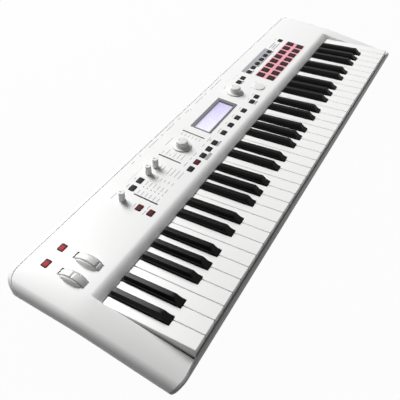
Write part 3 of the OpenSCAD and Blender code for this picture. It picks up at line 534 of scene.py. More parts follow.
def blend(tree, share, first, second):
    """Adds a mix of two colours, each a triple or a socket, and gives its result."""
    pair = [c if isinstance(c, bpy.types.NodeSocket) else (*c[:3], 1) for c in (first, second)]
    inputs = {"Factor": share, "A": pair[0], "B": pair[1]}
    return add(tree, "ShaderNodeMix", inputs, data_type="RGBA").outputs["Result"]


def seen_rays(tree):
    """1 for rays from the eye, straight or by way of glass or gloss, and 0 for light that spreads."""
    path = add(tree, "ShaderNodeLightPath").outputs
    seen = math(tree, "MAXIMUM", path["Is Camera Ray"], path["Is Transmission Ray"])
    return math(tree, "MAXIMUM", seen, path["Is Glossy Ray"])


def moulded(name, colour, roughness, grain=0.35, depth=0.03, shade=0.04, coat=0.0, specular=0.5):
    """Moulded plastic or rubber: fine grain in its normal, broad faint change of shade and gloss.

    grain is the size of the texture and depth its height, in millimetres.
    """
    material = bpy.data.materials.new(name)
    material.use_nodes = True
    tree = material.node_tree
    shader = tree.nodes["Principled BSDF"]
    where = add(tree, "ShaderNodeTexCoord").outputs["Object"]
    fine = add(tree, "ShaderNodeTexNoise", {"Vector": where, "Scale": 1 / (grain * MM), "Detail": 2.0})
    broad = add(tree, "ShaderNodeTexNoise", {"Vector": where, "Scale": 9.0, "Detail": 3.0}).outputs["Fac"]
    relief = {"Height": fine.outputs["Fac"], "Strength": 0.5, "Distance": depth * MM}
    bump = add(tree, "ShaderNodeBump", relief)
    tone = blend(tree, broad, [v * (1 - shade) for v in colour], colour)
    gloss = ramp(tree, broad, 0.0, 1.0, roughness - 0.05, roughness + 0.05, "LINEAR")
    tree.links.new(tone, shader.inputs["Base Color"])
    tree.links.new(gloss, shader.inputs["Roughness"])
    tree.links.new(bump.outputs["Normal"], shader.inputs["Normal"])
    shader.inputs["Coat Weight"].default_value = coat
    shader.inputs["Specular IOR Level"].default_value = specular
    return material


def lit_from_below(name, dark, bright, strength, roughness=0.5, reach=0.42, lamp=(0.5, 0.5)):
    """Backlit silicone: its glow is strongest over the lamp under the cap and dies away from it.

    The glow is 1 - smoothstep of max(|u - lamp_u|, |v - lamp_v|) in the piece's UV.
    """
    material = moulded(name, dark, roughness, 0.3, 0.02, specular=0.1)
    tree = material.node_tree
    shader = tree.nodes["Principled BSDF"]
    uv = add(tree, "ShaderNodeUVMap").outputs["UV"]
    off = add(tree, "ShaderNodeVectorMath", {0: uv, 1: (*lamp, 0)}, operation="SUBTRACT").outputs["Vector"]
    off = add(tree, "ShaderNodeVectorMath", {0: off}, operation="ABSOLUTE").outputs["Vector"]
    part = add(tree, "ShaderNodeSeparateXYZ", {0: off}).outputs
    glow = ramp(tree, math(tree, "MAXIMUM", part["X"], part["Y"]), reach / 3, reach, strength, 0.0)
    shader.inputs["Emission Color"].default_value = (*bright, 1)
    tree.links.new(glow, shader.inputs["Emission Strength"])
    return material


def pad_glow(name, settings):
    """Light guide between the pads: pink among them, fading to white over the rim outside them.

    UV counts pads, so the distance outside their block is max(|u - middle| - half, 0) along each side.
    """
    material = moulded(name, settings.guide_colour, 0.45, 0.3, 0.01)
    tree = material.node_tree
    shader = tree.nodes["Principled BSDF"]
    uv = add(tree, "ShaderNodeSeparateXYZ", {0: add(tree, "ShaderNodeUVMap").outputs["UV"]})
    away = []
    for axis, count, size, pitch in (("X", PADS, PAD_W, PAD_PITCH), ("Y", 2, PAD_D, PAD_ROW)):
        off = math(tree, "ABSOLUTE", math(tree, "SUBTRACT", uv.outputs[axis], count / 2))
        out = math(tree, "MAXIMUM", math(tree, "SUBTRACT", off, (count - 1) / 2 + size / pitch / 2), 0.0)
        away.append(math(tree, "POWER", math(tree, "MULTIPLY", out, pitch), 2.0))
    reach = math(tree, "SQRT", math(tree, "ADD", *away))
    glow = ramp(tree, reach, 0.0, PAD_RIM + 0.3, 1.0, 0.0)
    tone = blend(tree, glow, settings.guide_colour, settings.glow_colour)
    tree.links.new(tone, shader.inputs["Base Color"])
    shader.inputs["Emission Color"].default_value = (*settings.glow_colour, 1)
    tree.links.new(math(tree, "MULTIPLY", glow, settings.glow_strength), shader.inputs["Emission Strength"])
    return material


def display_face(name, settings):
    """Backlit display: painted glare whitens the field to one corner; faint rows of blocks stand for writing.

    A block shows where v lies in the middle of one of its rows and a random draw for its cell is high.
    """
    rows, columns, margin = 7.0, 34.0, 0.46
    row_low, row_high, bare_share = 0.34, 0.74, 0.42
    # Slopes of the painted glare across the field's u and v
    glare_along, glare_up = -0.55, -0.25
    ink_most, ink_fade = 0.65, 0.6
    material = moulded(name, (0.1, 0.1, 0.12), 0.3, 0.3, 0.005)
    tree = material.node_tree
    shader = tree.nodes["Principled BSDF"]
    uv = add(tree, "ShaderNodeUVMap").outputs["UV"]
    part = add(tree, "ShaderNodeSeparateXYZ", {0: uv}).outputs
    row = math(tree, "FRACT", math(tree, "MULTIPLY", part["Y"], rows))
    line = math(tree, "GREATER_THAN", row, row_low)
    line = math(tree, "MULTIPLY", line, math(tree, "LESS_THAN", row, row_high))
    spread = add(tree, "ShaderNodeMapping", {"Vector": uv, "Scale": (columns, rows, 1.0)}).outputs["Vector"]
    cell = add(tree, "ShaderNodeVectorMath", {0: spread}, operation="FLOOR").outputs["Vector"]
    chance = add(tree, "ShaderNodeTexWhiteNoise", {"Vector": cell}, noise_dimensions="2D").outputs["Value"]
    ink = math(tree, "MULTIPLY", line, math(tree, "GREATER_THAN", chance, bare_share))
    side = math(tree, "ABSOLUTE", math(tree, "SUBTRACT", part["X"], 0.5))
    ink = math(tree, "MULTIPLY", math(tree, "LESS_THAN", side, margin), ink)
    # Painted glare: a slope across u and v whitens the field and fades the rows towards one corner
    glare = math(tree, "MULTIPLY", part["X"], glare_along)
    glare = math(tree, "ADD", glare, math(tree, "MULTIPLY", part["Y"], glare_up))
    glare = math(tree, "ADD", glare, 1.0)
    field = blend(tree, glare, settings.field_colour, settings.glare_colour)
    share = math(tree, "SUBTRACT", ink_most, math(tree, "MULTIPLY", glare, ink_fade))
    tone = blend(tree, math(tree, "MULTIPLY", ink, share), field, settings.ink_colour)
    tree.links.new(tone, shader.inputs["Emission Color"])
    shader.inputs["Emission Strength"].default_value = settings.field_strength
    return material


def clear_sheet(name):
    """Clear window: seen through, with a faint gloss that follows the angle and a fine haze."""
    material = bpy.data.materials.new(name)
    material.use_nodes = True
    tree = material.node_tree
    tree.nodes.remove(tree.nodes["Principled BSDF"])
    where = add(tree, "ShaderNodeTexCoord").outputs["Object"]
    haze = add(tree, "ShaderNodeTexNoise", {"Vector": where, "Scale": 60.0, "Detail": 2.0}).outputs["Fac"]
    rough = ramp(tree, haze, 0.0, 1.0, 0.06, 0.14, "LINEAR")
    clear = add(tree, "ShaderNodeBsdfTransparent", {"Color": (0.97, 0.97, 0.99, 1)})
    gloss = add(tree, "ShaderNodeBsdfGlossy", {"Roughness": rough})
    facing = add(tree, "ShaderNodeLayerWeight", {"Blend": 0.5}).outputs["Facing"]
    share = math(tree, "ADD", math(tree, "MULTIPLY", math(tree, "POWER", facing, 5.0), 0.9), 0.03)
    mix = add(tree, "ShaderNodeMixShader", {0: share, 1: clear.outputs[0], 2: gloss.outputs[0]})
    tree.links.new(mix.outputs[0], tree.nodes["Material Output"].inputs["Surface"])
    return material


def metal(name, colour, roughness):
    """Plain steel: the fine grain of the mouldings on a metal."""
    material = moulded(name, colour, roughness, 0.25, 0.01)
    material.node_tree.nodes["Principled BSDF"].inputs["Metallic"].default_value = 1.0
    return material


# Settings


class CaseSettings(bpy.types.PropertyGroup):
    """Looks of the case mouldings."""

    shell_colour: bpy.props.FloatVectorProperty(
        name="Shell",
        description="Colour of the upper case and rear cover",
        subtype="COLOR",
        size=3,
        default=(0.87, 0.87, 0.865),
    )
    rail_colour: bpy.props.FloatVectorProperty(
        name="Rail",
        description="Colour of the front rail",
        subtype="COLOR",
        size=3,
        default=(0.31, 0.315, 0.312),
    )
    base_colour: bpy.props.FloatVectorProperty(
        name="Base",
        description="Colour of the lower case",
        subtype="COLOR",
        size=3,
        default=(0.07, 0.073, 0.076),
    )
    edge_radius: bpy.props.FloatProperty(
        name="Cheek edge",
        description="Radius of the cheek's edge beside the keys",
        unit="LENGTH",
        default=1.5 * MM,
    )


class KeySettings(bpy.types.PropertyGroup):
    """Looks of the keys."""

    white_colour: bpy.props.FloatVectorProperty(
        name="White keys",
        description="Colour of the white keys",
        subtype="COLOR",
        size=3,
        default=(0.9, 0.9, 0.89),
    )
    black_colour: bpy.props.FloatVectorProperty(
        name="Black keys",
        description="Colour of the black keys",
        subtype="COLOR",
        size=3,
        default=(0.005, 0.005, 0.0055),
    )
    edge_radius: bpy.props.FloatProperty(
        name="Key edge",
        description="Radius of the white keys' top edges",
        unit="LENGTH",
        default=0.9 * MM,
    )
    sharp_edge: bpy.props.FloatProperty(
        name="Sharp edge",
        description="Length over which a sharp's ridges round off",
        unit="LENGTH",
        default=0.7 * MM,
    )


class PanelSettings(bpy.types.PropertyGroup):
    """Looks of the panel's controls, lights and printing."""

    control_colour: bpy.props.FloatVectorProperty(
        name="Controls",
        description="Colour of knobs, dials, wheels and cursor pad",
        subtype="COLOR",
        size=3,
        default=(0.77, 0.77, 0.76),
    )
    button_colour: bpy.props.FloatVectorProperty(
        name="Buttons",
        description="Colour of the dark buttons",
        subtype="COLOR",
        size=3,
        default=(0.014, 0.014, 0.015),
    )
    lit_colour: bpy.props.FloatVectorProperty(
        name="Lit buttons",
        description="Glow of the lit buttons",
        subtype="COLOR",
        size=3,
        default=(0.75, 0.05, 0.07),
    )
    pad_colour: bpy.props.FloatVectorProperty(
        name="Pads",
        description="Colour of the pads",
        subtype="COLOR",
        size=3,
        default=(0.016, 0.008, 0.008),
    )
    guide_colour: bpy.props.FloatVectorProperty(
        name="Light guide",
        description="Colour of the light guide round the pads",
        subtype="COLOR",
        size=3,
        default=(0.86, 0.85, 0.85),
    )
    glow_colour: bpy.props.FloatVectorProperty(
        name="Pad glow",
        description="Colour of the light round the pads",
        subtype="COLOR",
        size=3,
        default=(0.78, 0.33, 0.39),
    )
    glow_strength: bpy.props.FloatProperty(
        name="Pad glow strength",
        description="Strength of the light round the pads",
        default=0.08,
    )
    field_colour: bpy.props.FloatVectorProperty(
        name="Display field",
        description="Colour of the display's field",
        subtype="COLOR",
        size=3,
        default=(0.52, 0.44, 0.8),
    )
    # Colour of the painted glare on the display's field
    glare_colour: bpy.props.FloatVectorProperty(
        name="Display corner",
        description="Colour that the display's field takes towards one corner",
        subtype="COLOR",
        size=3,
        default=(0.97, 0.96, 1.0),
    )
    ink_colour: bpy.props.FloatVectorProperty(
        name="Display rows",
        description="Colour of the display's rows",
        subtype="COLOR",
        size=3,
        default=(0.25, 0.18, 0.5),
    )
    field_strength: bpy.props.FloatProperty(
        name="Display strength",
        description="Strength of the display's light",
        default=1.0,
    )
    print_colour: bpy.props.FloatVectorProperty(
        name="Legends",
        description="Colour of the printed bars",
        subtype="COLOR",
        size=3,
        default=(0.4, 0.4, 0.41),
    )
    # Also the colour of the painted shadow rings under the dials
    band_and_shadow_colour: bpy.props.FloatVectorProperty(
        name="Bands",
        description="Colour of the printed blocks and bands",
        subtype="COLOR",
        size=3,
        default=(0.36, 0.36, 0.39),
    )


class StageSettings(bpy.types.PropertyGroup):
    """Light on the object."""

    key_power: bpy.props.FloatProperty(
        name="Key lamp",
        description="Power of the lamp behind the object",
        unit="POWER",
        default=81,
    )
    room_strength: bpy.props.FloatProperty(
        name="Room",
        description="Strength of the dim light from all sides",
        default=0.105,
    )
    glow_strength: bpy.props.FloatProperty(
        name="Backdrop",
        description="Strength of the low bright band behind the object",
        default=0.1,
    )


# Pieces


def panel_openings():
    """Openings in the panel as rows of centre x, centre t, width and depth, those of the buttons first."""
    button_w, button_d = BUTTON_W + 2 * SLIDE_GAP, BUTTON_D + 2 * SLIDE_GAP
    openings = [
        (x0 + i * step, t, button_w, button_d)
        for x0, step, count, t in BUTTON_ROWS.values()
        for i in range(count)
    ]
    slot_w, slot_d = WHEEL_W + 2 * WHEEL_GAP, 2 * (WHEEL_SHOW + WHEEL_GAP + SLOT_MORE)
    openings += [(x, WHEEL_T + SLOT_BACK, slot_w, slot_d) for x in WHEEL_X]
    openings += [(DISPLAY_X, DISPLAY_T, DISPLAY_W - BEZEL_LAP, DISPLAY_D - BEZEL_LAP)]
    openings += [(GLOW_X, GLOW_T, GLOW_W, GLOW_D)]
    openings += [(CURSOR_X, CURSOR_T, 2 * CURSOR_HALF, 2 * CURSOR_HALF)]
    return np.array(openings)


def cheek_grids(edge):
    """Right cheek as two grids: over it from the wall beside the keys to the rim, and its undercut.

    The wall's top edge is a quarter circle that dies out towards the lip line. The front edge follows the
    plan's pull over the front run, and the undercut's plane z = undercut_z - (y - front_y) bounds it below.
    """
    end_x, end_fall = end_section()
    inset, drop = fillet(edge)
    depth = np.concatenate([[CHEEK_WALL, CHEEK_WALL / 2], drop])
    rows = np.linspace(SHELL_FRONT, LIP_Y + LIP_T * COS, 36)[:, None]
    ease = smoothstep((LIP_Y - rows) / CHEEK_EASE)
    x = np.concatenate([[0, 0], inset])[None, :] * ease + CHEEK_X
    fall = np.where(depth > edge + 1e-6, depth + 0 * x, depth * ease)
    x = np.concatenate([x, end_x + 0 * rows], 1)
    fall = np.concatenate([fall, end_fall + 0 * rows], 1)
    y = rows + front_pull(x) * smoothstep((SHELL_FRONT + FRONT_RUN - rows) / FRONT_RUN)
    z = np.maximum(case_height(x, y) - fall, UNDERCUT_Z - (y - FRONT_Y))
    run = (UNDERCUT_Z - case_height(CHEEK_X, FRONT_Y) + SHELL_DEPTH) / (1 + CHEEK_SLOPE)
    across, back = np.linspace(CHEEK_X, NOSE_X - RIM_W, 3), np.linspace(SHELL_FRONT, FRONT_Y + run, 9)
    under_x, under_y = np.meshgrid(across, back)
    under = np.stack([under_x, under_y, UNDERCUT_Z - (under_y - FRONT_Y)], -1)
    return np.stack([x, y, z], -1), under[:, ::-1]


class SYNTH_OT_upper_case(bpy.types.Operator):
    """Builds the white upper case: panel with its openings, rounded lip, cheeks and rounded ends"""

    bl_idname = "synth.upper_case"
    bl_label = "Upper case"

    def execute(self, context):
        settings = context.scene.synth_case
        end_x, end_fall = end_section()
        holes = panel_openings()
        round_lines = np.linspace(-CURSOR_HALF, CURSOR_HALF, 13)
        xs = lines_round(holes, 0, [-CHEEK_X, CHEEK_X, *(CURSOR_X + round_lines)], 26)
        ts = lines_round(holes, 1, [LIP_T, SEAM_T, SEAM_T - 1, *(CURSOR_T + round_lines)], 9)
        x = np.concatenate([-end_x[::-1], xs, end_x])
        fall = np.concatenate([end_fall[::-1], 0 * xs, end_fall])
        mesh = Mesh()

        # Panel and ends behind the lip line
        pull = rear_pull(x)[None, :] * smoothstep((ts[:, None] - SEAM_T + REAR_RUN) / REAR_RUN)
        y = LIP_Y + ts[:, None] * COS - pull
        panel = np.stack([x + 0 * y, y, case_height(x[None, :], y) - fall], -1)
        mesh.grid(panel, keep=~cells_in(x, ts, holes))
        cursor, cursor_r = (CURSOR_X, CURSOR_T), CURSOR_R + SLIDE_GAP
        hole_ring(mesh, lambda u, v: panel_point(u, v, 0.0), xs, ts, cursor, CURSOR_HALF, cursor_r)
        buttons = sum(count for _, _, count, _ in BUTTON_ROWS.values())
        for centre in holes[:buttons, :2]:
            corner_fills(mesh, centre, holes[0, 2:], BUTTON_R + SLIDE_GAP)

        # Lip over the keys, and cheeks beside them
        lip_t, lip_h = lip_profile()
        mesh.grid(panel_point(xs[None, :], lip_t[::-1, None], lip_h[::-1, None]))
        for side in (1, -1):
            for sheet in cheek_grids(settings.edge_radius / MM):
                mesh.grid((sheet * [side, 1, 1])[:, ::side])
        material = moulded("shell_white", settings.shell_colour, 0.42, 0.4, 0.02, 0.02)
        obj = piece("upper_case_skin", "case", mesh, material, ["upper_case"], 40, 0.01, WALL)

        # The wall thins towards the lip's edge
        group = obj.vertex_groups.new(name="wall")
        group.add(range(len(obj.data.vertices)), 1.0, "REPLACE")
        at = np.empty(3 * len(obj.data.vertices))
        obj.data.vertices.foreach_get("co", at)
        at = at.reshape(-1, 3) / MM - [0, LIP_Y, LIP_Z]
        h = at[:, 2] * COS - at[:, 1] * SIN
        clear, slack = 0.5, 0.01
        inside = np.abs(at[:, 0]) < CHEEK_X - clear
        for drop in lip_h:
            thin = 1 - (1 - LIP_WALL / WALL) * drop / lip_h[-1]
            group.add(np.flatnonzero(inside & (np.abs(h - drop) < slack)).tolist(), thin, "REPLACE")
        obj.modifiers["wall"].vertex_group = "wall"

        # Arched fairings beside the wheels: shares of a run outwards and of an arc's height
        mesh = Mesh()
        t = np.linspace(-FAIRING_HALF, FAIRING_HALF, 49)[:, None]
        arc = np.sqrt(np.maximum((WHEEL_R - FAIRING_LOW) ** 2 - t**2, 0))
        height = np.maximum(arc - np.sqrt(WHEEL_R**2 - WHEEL_SHOW**2), 0)
        run = FAIRING_RUN + FAIRING_SPREAD * height
        out = np.array([0, 0, 0.12, 0.35, 0.6, 0.8, 0.93, 1.0, 1.0])
        up = np.array([0, 0.94, 1.0, 0.96, 0.78, 0.5, 0.22, 0.0, 0.0])
        low = np.array([-WALL, 0, 0, 0, 0, 0, 0, 0, -0.4])
        for centre in WHEEL_X:
            for side in (1, -1):
                across = centre + side * (WHEEL_W / 2 + WHEEL_GAP + out * run)
                fairing = panel_point(across, WHEEL_T + t, up * height + low + FAIRING_LIFT)
                mesh.grid(fairing, wrap=True, ends=True)
        piece("wheel_fairings", "case", mesh, material, smooth=50)
        return {"FINISHED"}


class SYNTH_OT_front_rail(bpy.types.Operator):
    """Builds the dark rail that runs along the front and thins out round both corners"""

    bl_idname = "synth.front_rail"
    bl_label = "Front rail"

    def execute(self, context):
        turn = np.linspace(0, np.pi / 2 - SWEEP_TURN, 12)
        tip = HALF_W - TIP_R + TIP_R * np.cos(turn)
        sweep = SWEEP_X + SWEEP_R * np.sin(np.linspace(SWEEP_TURN, 0, 14)[1:])
        rise = np.linspace(SWEEP_X, CHEEK_X - RAIL_FINE, 20)[1:]
        end = np.concatenate([tip, sweep, rise])
        x = np.concatenate([-end, np.linspace(-end[-1], end[-1], 24)[1:-1], end[::-1]])
        y = FRONT_Y + front_pull(x)

        # Its top is the cheek's at the ends and climbs before the keys, and the undercut bounds it below
        fall, under = end_drop(x)
        plane = case_height(x, y)
        cheek_top = plane - fall + RAIL_LIFT
        keys = smoothstep((CHEEK_X + RAIL_RISE - np.abs(x)) / RAIL_RISE_W)
        beside = 1 - keys
        top = cheek_top + (KEY_TOP - RAIL_DROP - cheek_top) * keys
        low = np.maximum(UNDERCUT_Z - (y - FRONT_Y), plane - under)
        low = np.minimum(low, top - RAIL_MIN)
        soft = np.minimum(RAIL_EDGE, (top - low) / 3)
        inset, drop = fillet(1.0, 5)

        # Its top leans back before the keys, and laps over the cheeks' front edge beside them
        back = y + RAIL_T + RAIL_LAP * beside
        top_back = top + (case_height(x, back) - plane) * beside
        over = soft[:, None] * inset
        edge_z = top[:, None] - soft[:, None] * drop + CHEEK_SLOPE * over * beside[:, None]
        outer = np.stack([x[:, None] + 0 * inset, (y + RAIL_LEAN * keys)[:, None] + over, edge_z], -1)
        low_back = np.maximum(low - (back - y), case_height(x, back) - under)
        low_back = np.minimum(low_back, top - RAIL_MIN_BACK)
        front = [(back, low_back), (y, low), (y, (low + top * 2) / 3)]
        ring = [np.stack([x, at, height], -1)[:, None] for at, height in front]
        ring += [outer, np.stack([x, back, top_back], -1)[:, None]]
        mesh = Mesh()
        mesh.grid(np.concatenate(ring, 1), wrap=True, ends=True)
        material = moulded("rail_grey", context.scene.synth_case.rail_colour, 0.45, 0.4, 0.03)
        piece("front_rail_band", "case", mesh, material, ["front_rail"], 40)
        return {"FINISHED"}


def rear_point(x, z):
    """Points (x, rear_y, z) of the flat rear face, with their columns turned so that the face looks back."""
    return np.stack([x, REAR_Y + 0 * x, z], -1)[:, ::-1]


class SYNTH_OT_rear_cover(bpy.types.Operator):
    """Builds the rear cover behind the seam, with its rounded rear edge and its openings"""

    bl_idname = "synth.rear_cover"
    bl_label = "Rear cover"

    def execute(self, context):
        settings = context.scene.synth_case
        bores = [mount for mount in MOUNTS.values() if mount["kind"] == "bore"]
        sockets = [(bore["pos_m"][0] / MM, bore["dims"]["r_mm"] + BORE_ROOM) for bore in bores]
        usb_x = np.mean(OPENINGS["usb_socket"]["box_m"], 0)[0] / MM
        power_x = np.mean(node_box("power_button"), 0)[0]
        holes = [(x, SOCKET_Z, 2 * (r + SOCKET_EDGE), 2 * (r + SOCKET_EDGE)) for x, r in sockets]
        holes = np.array(holes + [(usb_x, SOCKET_Z, *USB_SIZE), (power_x, SOCKET_Z, *POWER_SIZE)])

        # Lines across and up, with the ends' corners in plan
        spread = [np.linspace(-1, 1, 9) * (r + SOCKET_EDGE) for _, r in sockets]
        round_x = np.concatenate([x + part for (x, _), part in zip(sockets, spread)])
        flat = lines_round(holes, 0, [-CHEEK_X, CHEEK_X, *round_x], 30)
        bend = np.radians(np.linspace(0, 90, 34))[1:]
        corner = HALF_W - CORNER_R + CORNER_R * np.sin(bend)
        end = np.concatenate([np.linspace(CHEEK_X, HALF_W - CORNER_R, 6)[1:], corner])
        xs = np.concatenate([-end[::-1], flat, end])
        fall, under = end_drop(xs)
        rear = REAR_Y - rear_pull(xs)
        seam = SEAM_Y + SEAM_GAP - rear_pull(xs)
        top, low = case_height(xs, rear) - fall, case_height(xs, rear) - under
        soft = np.minimum(COVER_EDGE, (top - low) / 4)
        flat_top = case_height(0.0, REAR_Y)
        ends = [flat_top - SHELL_DEPTH + COVER_EDGE, flat_top - COVER_EDGE]
        base = lines_round(holes, 1, [*ends, *(SOCKET_Z + np.concatenate(spread))], 4)

        # Rear face: level rows behind the flat panel, squeezed towards the rounded ends
        share = (base - base[0]) / (base[-1] - base[0])
        z = (low + soft)[None, :] + share[:, None] * (top - low - 2 * soft)[None, :]
        face = np.stack([xs + 0 * z, rear + 0 * z, z], -1)
        mesh = Mesh()
        mesh.grid(face[:, ::-1], keep=~cells_in(xs, base, holes)[:, ::-1])
        for x, r in sockets:
            centre, half = (x, SOCKET_Z), r + SOCKET_EDGE
            hole_ring(mesh, rear_point, xs, base, centre, half, r)

        # Rounded edges with the top strip, then with the underside
        inset, drop = fillet(1.0, 6)
        edge_y = rear - soft * inset[:, None]
        over_y = rear - soft + (seam - rear + soft) * np.linspace(0, 1, 4)[:, None]
        for way, level, below in ((-1, top, fall), (1, low, under)):
            edge_z = level + way * soft * drop[:, None] - (rear - edge_y) * SIN / COS
            edge = np.stack([xs + 0 * edge_y, edge_y, edge_z], -1)
            strip = np.stack([xs + 0 * over_y, over_y, case_height(xs, over_y) - below], -1)
            mesh.grid(np.concatenate([edge, strip[1:]])[:, ::way])
        material = moulded("shell_white_rear", settings.shell_colour, 0.42, 0.4, 0.02, 0.02)
        piece("rear_cover_skin", "case", mesh, material, ["rear_cover"], 40, 0.01, COVER_WALL)
        return {"FINISHED"}


class SYNTH_OT_base(bpy.types.Operator):
    """Gives the base, its feet and screws, the sockets and the pieces inside their materials"""

    bl_idname = "synth.base"
    bl_label = "Base and inside"

    def execute(self, context):
        settings = context.scene.synth_case
        dark = moulded("dark_plastic", (0.022, 0.022, 0.024), 0.5)
        board = moulded("board_green", (0.03, 0.14, 0.06), 0.4, 0.6, 0.02, 0.15)
        looks = {
            "lower_case": moulded("base_grey", settings.base_colour, 0.6, 0.8, 0.08, 0.08),
            "rubber_feet": moulded("foot_rubber", (0.02, 0.02, 0.02), 0.8, 0.5, 0.05),
            "case_screws": metal("screw_steel", (0.5, 0.5, 0.5), 0.35),
            "key_frame": moulded("frame_plastic", (0.3, 0.3, 0.31), 0.55),
            "key_felts": moulded("felt", (0.33, 0.05, 0.06), 0.95, 0.6, 0.3, 0.25),
            "contact_board": board,
            "main_board": board,
            "panel_board": board,
            "jack_board": board,
            "contact_rubber": moulded("silicone", (0.6, 0.58, 0.54), 0.7),
            "panel_switches": dark,
            "pot_bodies": dark,
            "rear_jacks": dark,
            "power_button": dark,
            "wheel_bracket": metal("bracket_steel", (0.45, 0.45, 0.46), 0.4),
        }
        for name, material in looks.items():
            data = frame["nodes"][name].data
            data.materials.clear()
            data.materials.append(material)
        return {"FINISHED"}


def white_key_outline(i, sharps):
    """Plan of white key i of an octave: a head as wide as its place, and a tail between the sharps."""
    left, right = i * KEY_PITCH + KEY_GAP / 2, (i + 1) * KEY_PITCH - KEY_GAP / 2
    lip, shoulder, room = WHITE_FRONT + KEY_LIP, SHARP_FRONT - KEY_GAP, SHARP_W / 2 + KEY_GAP
    corners = [(left, WHITE_FRONT), (right, WHITE_FRONT), (right, lip)]
    radii = [HEAD_R, HEAD_R, LIP_R]
    tail_right, tail_left = right, left
    if i + 1 in sharps:
        tail_right = (i + 1 + sharps[i + 1]) * KEY_PITCH - room
        corners += [(right, shoulder), (tail_right, shoulder)]
        radii += [SHOULDER_R, NOTCH_R]
    if i in sharps:
        tail_left = (i + sharps[i]) * KEY_PITCH + room
    corners += [(tail_right, TAIL_END), (tail_left, TAIL_END)]
    radii += [TAIL_R, TAIL_R]
    if i in sharps:
        corners += [(tail_left, shoulder), (left, shoulder)]
        radii += [NOTCH_R, SHOULDER_R]
    return rounded_corners(corners + [(left, lip)], radii + [LIP_R])


class SYNTH_OT_white_keys(bpy.types.Operator):
    """Builds the white keys with rounded edges, one piece for each moulded comb"""

    bl_idname = "synth.white_keys"
    bl_label = "White keys"

    def execute(self, context):
        settings = context.scene.synth_keys
        edge = settings.edge_radius / MM
        material = moulded("key_white", settings.white_colour, 0.3, 0.5, 0.006, 0.02, 0.15)
        inset, drop = fillet(edge)
        insets, drops = [KEY_FOOT, 0, *inset, edge + TOP_RING], np.array([KEY_H, 0, *drop, 0])
        combs = {f"white_keys_a_{o + 1}": (o, (0, 2, 4, 6), SHARP_PLACES) for o in range(OCTAVES)}
        combs |= {f"white_keys_b_{o + 1}": (o, (1, 3, 5), SHARP_PLACES) for o in range(OCTAVES)}
        combs["top_c_key"] = (OCTAVES, (0,), {})
        for node, (octave, places, sharps) in combs.items():
            mesh = Mesh()
            start = octave * 7 * KEY_PITCH - KEYBED_HALF
            for place in places:
                outline = white_key_outline(place, sharps)
                rings = drawn_in(outline, insets)
                level = KEY_TOP - drops[:, None] + 0 * rings[..., 0]
                front = outline[:, 1] < WHITE_FRONT + KEY_LIP - 2 * LIP_R
                level[1] = KEY_TOP - KEY_H - KEY_SKIRT * front
                mesh.grid(np.concatenate([rings + [start, 0], level[..., None]], -1), wrap=True, ends=True)

            # The outermost keys have a side that reaches further down at the front
            side = {"white_keys_a_1": -1, "top_c_key": 1}.get(node)
            if side:
                outer = side * (KEYBED_HALF - KEY_GAP / 2 - SIDE_IN)
                inner = outer - side * SIDE_T
                x = np.array([outer, outer, inner, inner])
                y = WHITE_FRONT + np.array([[SIDE_FRONT], [SIDE_BACK]])
                depth = np.array([[SIDE_H], [SIDE_LAP]]) * [0, 1, 1, 0]
                z = KEY_TOP - KEY_H + np.array([SIDE_LAP, 0, 0, SIDE_LAP]) - depth
                mesh.grid(np.stack([x + 0 * z, y + 0 * z, z], -1), wrap=True, ends=True)
            piece(f"{node}_caps", node, mesh, material, [node], 40)
        return {"FINISHED"}


class SYNTH_OT_black_keys(bpy.types.Operator):
    """Builds the black keys: upright sides that lean in to a narrow top, with a leaning front"""

    bl_idname = "synth.black_keys"
    bl_label = "Black keys"

    def execute(self, context):
        settings = context.scene.synth_keys
        material = moulded("key_black", settings.black_colour, 0.22, 0.35, 0.012, 0.1, specular=0.1)
        edge = settings.sharp_edge / MM
        half, top = SHARP_W / 2, SHARP_TOP_W / 2
        wide = half - SHARP_TRIM

        # Stations along the key: place, height of the upright sides, height and half width of the top
        stations = softened(
            [
                (SHARP_FRONT, SHARP_FOOT_H - SHARP_STEP, SHARP_FOOT_H, wide),
                (SHARP_FRONT + TOE_LEN, TOE_SIDE_H, TOE_H, half - TOE_IN),
                (SHARP_FRONT + SHARP_LEAN, SHARP_SIDE_H, SHARP_H, top),
                (SHARP_REAR, SHARP_SIDE_H, SHARP_REAR_H, top),
                (SHARP_HEEL, SHARP_TAIL_H - SHARP_STEP, SHARP_TAIL_H, wide),
                (LIP_Y - FOOT_FALL, SHARP_TAIL_H - SHARP_STEP, SHARP_TAIL_H, wide),
                (LIP_Y - FOOT_SUNK, -SHARP_STEP, SUNK_H, wide),
                (TAIL_END, -SHARP_STEP, SUNK_H, wide),
            ],
            [0, 1.5, 1.3, 0.8, 0.6, 0.5, 0.5, 0],
        )
        rings = []
        for y, side_h, top_h, top_w in stations:
            low = min(edge, (top_h - side_h) / 3)
            right = [(half, -SHARP_DEEP), (half, side_h), (top_w, top_h)]
            left = [(-x, height) for x, height in right[::-1]]
            section = softened(right + left, [0, 2 * low, low, low, 2 * low, 0])
            rings.append(np.stack([section[:, 0], y + 0 * section[:, 0], section[:, 1] + KEY_TOP], -1))
        key = np.stack(rings)
        for octave in range(OCTAVES):
            mesh = Mesh()
            for place, shift in SHARP_PLACES.items():
                centre = (octave * 7 + place + shift) * KEY_PITCH - KEYBED_HALF
                mesh.grid(key + [centre, 0, 0], wrap=True, ends=True)
            node = f"black_keys_{octave + 1}"
            piece(f"{node}_caps", node, mesh, material, [node], 30)
        return {"FINISHED"}


